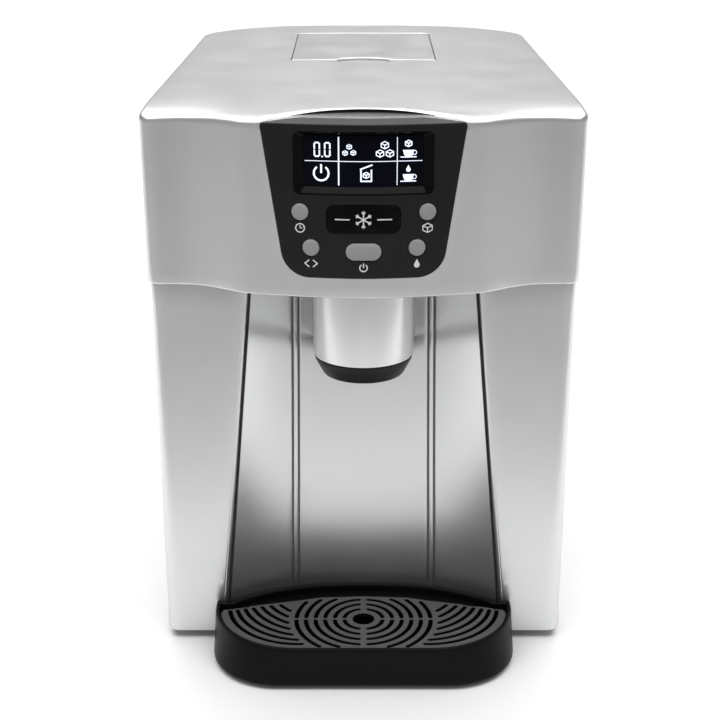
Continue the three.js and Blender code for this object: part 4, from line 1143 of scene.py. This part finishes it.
def slots_on(cx, cy, r, start, end, allowed):
    """The outlines of slots that follow an arc where allowed says a point is free."""
    steps = max(20, int(abs(end - start) * r / 57.3 / 0.8))
    free = allowed(arc(cx, cy, r, start, end, steps))
    runs, run = [], []
    for i, ok in enumerate(list(free) + [False]):
        if ok:
            run.append(start + (end - start) * i / steps)
        elif run:
            runs.append((run[0], run[-1]))
            run = []
    shortest = 5
    return [slot_outline(cx, cy, r, a, b) for a, b in runs if (b - a) * r / 57.3 > shortest]


def slot_outline(cx, cy, r, a, b):
    """A slot along an arc from a to b degrees, with round ends."""
    half = SLOT / 2
    steps = max(4, int((b - a) * r / 57.3 / 2.2))

    def end(at, turn):
        x, y = arc(cx, cy, r, at, at, 1)[0]
        return arc(x, y, half, turn, turn + 180, 6)

    outer, inner = arc(cx, cy, r + half, a, b, steps), arc(cx, cy, r - half, b, a, steps)
    return outer[:-1] + end(b, b) + inner[1:-1] + end(a, a + 180)[:-1]


def drip_grille():
    """Rings of slots round a hole, cut by four spokes, and waves of slots in the corners."""
    field = grille_outline(GRILLE_INSET + 1.9 + SLOT / 2)
    hub = FIRST_RING + RINGS * RING_PITCH - 2.2 + SLOT / 2

    def in_field(points):
        return inside(points, field)

    def outside_hub(points):
        return in_field(points) & np.array([math.hypot(x, y - GRILLE_Y) > hub for x, y in points])

    slots = [circle(0, GRILLE_Y, 7.8)]
    for ring in range(RINGS):
        r = FIRST_RING + ring * RING_PITCH
        bar = math.degrees(math.asin((SPOKE_X + SLOT / 2) / r))
        post = math.degrees(math.asin((SPOKE_Y + SLOT / 2) / r))
        for turn in (0, 180):
            for a, b in ((turn + bar, turn + 90 - post), (turn + 90 + post, turn + 180 - bar)):
                slots += slots_on(0, GRILLE_Y, r, a, b, in_field)
    for i in range(WAVES):
        x, y = WAVE_START[0] - i * WAVE_STEP[0], WAVE_START[1] + i * WAVE_STEP[1]
        slots += slots_on(x, y, WAVE_R, -96, -8, outside_hub)
        slots += slots_on(-x, y, WAVE_R, 188, 276, outside_hub)
    lip = [(0.3, 0), (0.1, 0.06), (0, 0.25), (0, GRILLE_THICK)]
    loops = [(grille_outline(GRILLE_INSET), both(0.7, GRILLE_THICK))] + [(slot, lip) for slot in slots]
    piece = plate("grille_plate", loops, lambda x, y, d: (x, y, GRILLE_TOP - d), GRILLE, "grille_black",
                  ["drip_grille"], "drip_grille", sharp=40)
    # The slot walls and the underside take the black of painted shadow, as the shade inside the slots.
    piece.data.materials.append(SHADOW_BLACK)
    for face in piece.data.polygons:
        if abs(face.normal.z) < 0.3 or face.normal.z < -0.9:
            face.material_index = 1


# ---- Stage ----
def floor_material():
    """Pale and matt: white round the object, and greyer farther in front, a painted falloff of light that the
    silver front reflects.
    """
    m, graph, shader = new_material("floor_painted_light")

    def combine(operation, a, b):
        node = graph.add("Math", {0: a, 1: b})
        node.operation = operation
        return node.outputs["Value"]

    place = graph.add("SeparateXYZ", {"Vector": graph.coordinates("Object")}).outputs
    wide = combine("ABSOLUTE", place["X"], 0)
    curve = combine("MULTIPLY", combine("SUBTRACT", wide, 0.3), 0.3)
    ahead = combine("ADD", combine("SUBTRACT", FLOOR_NEAR, place["Y"]), curve)
    reach = combine("MULTIPLY", ahead, combine("ADD", combine("MULTIPLY", wide, FLOOR_SIDE), 1))
    ramp = graph.add("ValToRGB", {"Fac": graph.ranged(reach, 0, 1, 0, FLOOR_REACH)})
    stops = ramp.color_ramp.elements
    for at in (0.2, 0.3, 0.4, 0.5, 0.6, 0.7):
        stops.new(at)
    for stop, (at, tone) in zip(stops, FLOOR_LIGHT_TONES):
        stop.position = at
        stop.color = (tone, tone, tone, 1)
    rough = graph.ranged(graph.noise(6), 0.6, 0.7)
    graph.put(shader, {"Base Color": ramp.outputs["Color"], "Roughness": rough, "Specular IOR Level": 0.1})
    return m


def stage():
    """The floor, just under the feet."""
    cells, reach = 2, 6
    steps = [-reach + 2 * reach * i / cells for i in range(cells + 1)]
    mesh = bpy.data.meshes.new("floor")
    mesh.from_pydata([(x, y, -0.00005) for y in steps for x in steps], [], quads(cells, cells))
    mesh.materials.append(floor_material())
    add("floor", mesh)


def softbox(name, place, aim, width, height, power):
    light = bpy.data.lights.new(name, "AREA")
    light.shape = "RECTANGLE"
    light.size = width
    light.size_y = height
    light.energy = power
    lamp = add(name, light)
    lamp.location = place
    lamp.rotation_euler = (Vector(aim) - Vector(place)).to_track_quat("-Z", "Y").to_euler()


def lighting():
    """Two softboxes overhead, one over the floor behind, and a room that is a little brighter in front."""
    world = bpy.data.worlds.new("studio")
    graph = Graph(world)
    ahead = graph.add("SeparateXYZ", {"Vector": graph.coordinates("Generated")}).outputs["Y"]
    level = graph.ranged(ahead, ROOM_FRONT, ROOM_BACK, -0.5, 0.35)
    graph.put(world.node_tree.nodes["Background"], {"Color": (1, 1, 1, 1), "Strength": level})
    bpy.context.scene.world = world
    softbox("overhead", (0, 0.3, 1.7), (0, 0.3, 0), 3.2, 1.0, 13)
    softbox("front_top", (0, -0.6, 1.7), (0, -0.45, 0), 2.6, 0.9, 21)
    softbox("floor_wash", (0, 3.9, 3.8), (0, 3.9, 0), 6, 5, 255)


def camera():
    data = bpy.data.cameras.new("camera")
    data.sensor_width = 36
    data.lens = CAMERA_LENS
    data.shift_x = CAMERA_SHIFT
    data.clip_end = 50
    cam = add("camera", data)
    cam.location = (0, FRONT * MM - CAMERA_AHEAD, CAMERA_HEIGHT)
    cam.rotation_euler = (math.pi / 2 - CAMERA_PITCH, 0, 0)
    bpy.context.scene.camera = cam
    bpy.context.scene.view_settings.view_transform = "Standard"


# ---- CAD nodes that stay ----
FINISHES = {
    "galvanised_steel": ((0.50, 0.51, 0.52), (0.32, 0.5), 0.9, 700, 0.08, 0.12, {"wear": 0.2}),
    "circuit_board": ((0.02, 0.11, 0.05), (0.35, 0.55), 0, 900, 0.15, 0.3, {"coat": 0.4}),
    "white_plastic": ((0.72, 0.72, 0.70), (0.4, 0.5), 0, 1100, 0.06, 0.04, {"wear": 0.1}),
    "auger_plastic": ((0.50, 0.53, 0.55), (0.38, 0.48), 0, 1100, 0.06, 0.05, {"wear": 0.2}),
    "evaporator_metal": ((0.62, 0.62, 0.60), (0.2, 0.35), 0.95, 800, 0.06, 0.08, {"wear": 0.2}),
    "grey_plastic": ((0.22, 0.22, 0.23), (0.42, 0.52), 0, 1100, 0.08, 0.08, {"wear": 0.15}),
    "tank_plastic": ((0.62, 0.65, 0.67), (0.25, 0.35), 0, 900, 0.03, 0.04, {"coat": 0.3}),
    "compressor_black": ((0.02, 0.02, 0.022), (0.25, 0.4), 0.2, 800, 0.12, 0.2, {"wear": 0.3}),
    "aluminium_fins": ((0.60, 0.61, 0.62), (0.3, 0.45), 0.95, 900, 0.1, 0.1, {"stretch": (9, 1, 1)}),
    "copper_pipe": ((0.62, 0.28, 0.15), (0.22, 0.38), 0.95, 600, 0.05, 0.2, {"wear": 0.2}),
    "clear_tube": ((0.66, 0.68, 0.68), (0.15, 0.25), 0, 700, 0.02, 0.04, {"coat": 0.3}),
}


def dress_cad():
    """Gives every CAD node the finish of its material slot."""
    looks = {slot: surface(slot, *values, **rest) for slot, (*values, rest) in FINISHES.items()}
    looks.update(
        rubber=RUBBER, silver_shell=SILVER, silver_side=SIDE, silver_top=TOP, black_fascia=BLACK,
        display_glass=SCREEN, black_plastic=BLACK, badge_black=BLACK_GLOSS, grey_key=KEY, tray_black=TRAY,
        grille_black=GRILLE)
    for part in frame["record"]["subparts"]:
        for holder in bpy.data.objects[part["node"]].material_slots:
            holder.material = looks[part["material_slot"]]


camera()
lighting()
stage()
dress_cad()
head_wall()
top_cover()
finger_dish()
scoop_floor()
scoop_painted_shadow()
fill_door()
control_fascia()
keys()
badge()
display_bezel()
display_window()
display_symbols()
panel_symbols()
badge_symbol()
lower_fronts()
bay_liner()
spout()
side_and_rear()
feet()
drip_tray()
drip_grille()
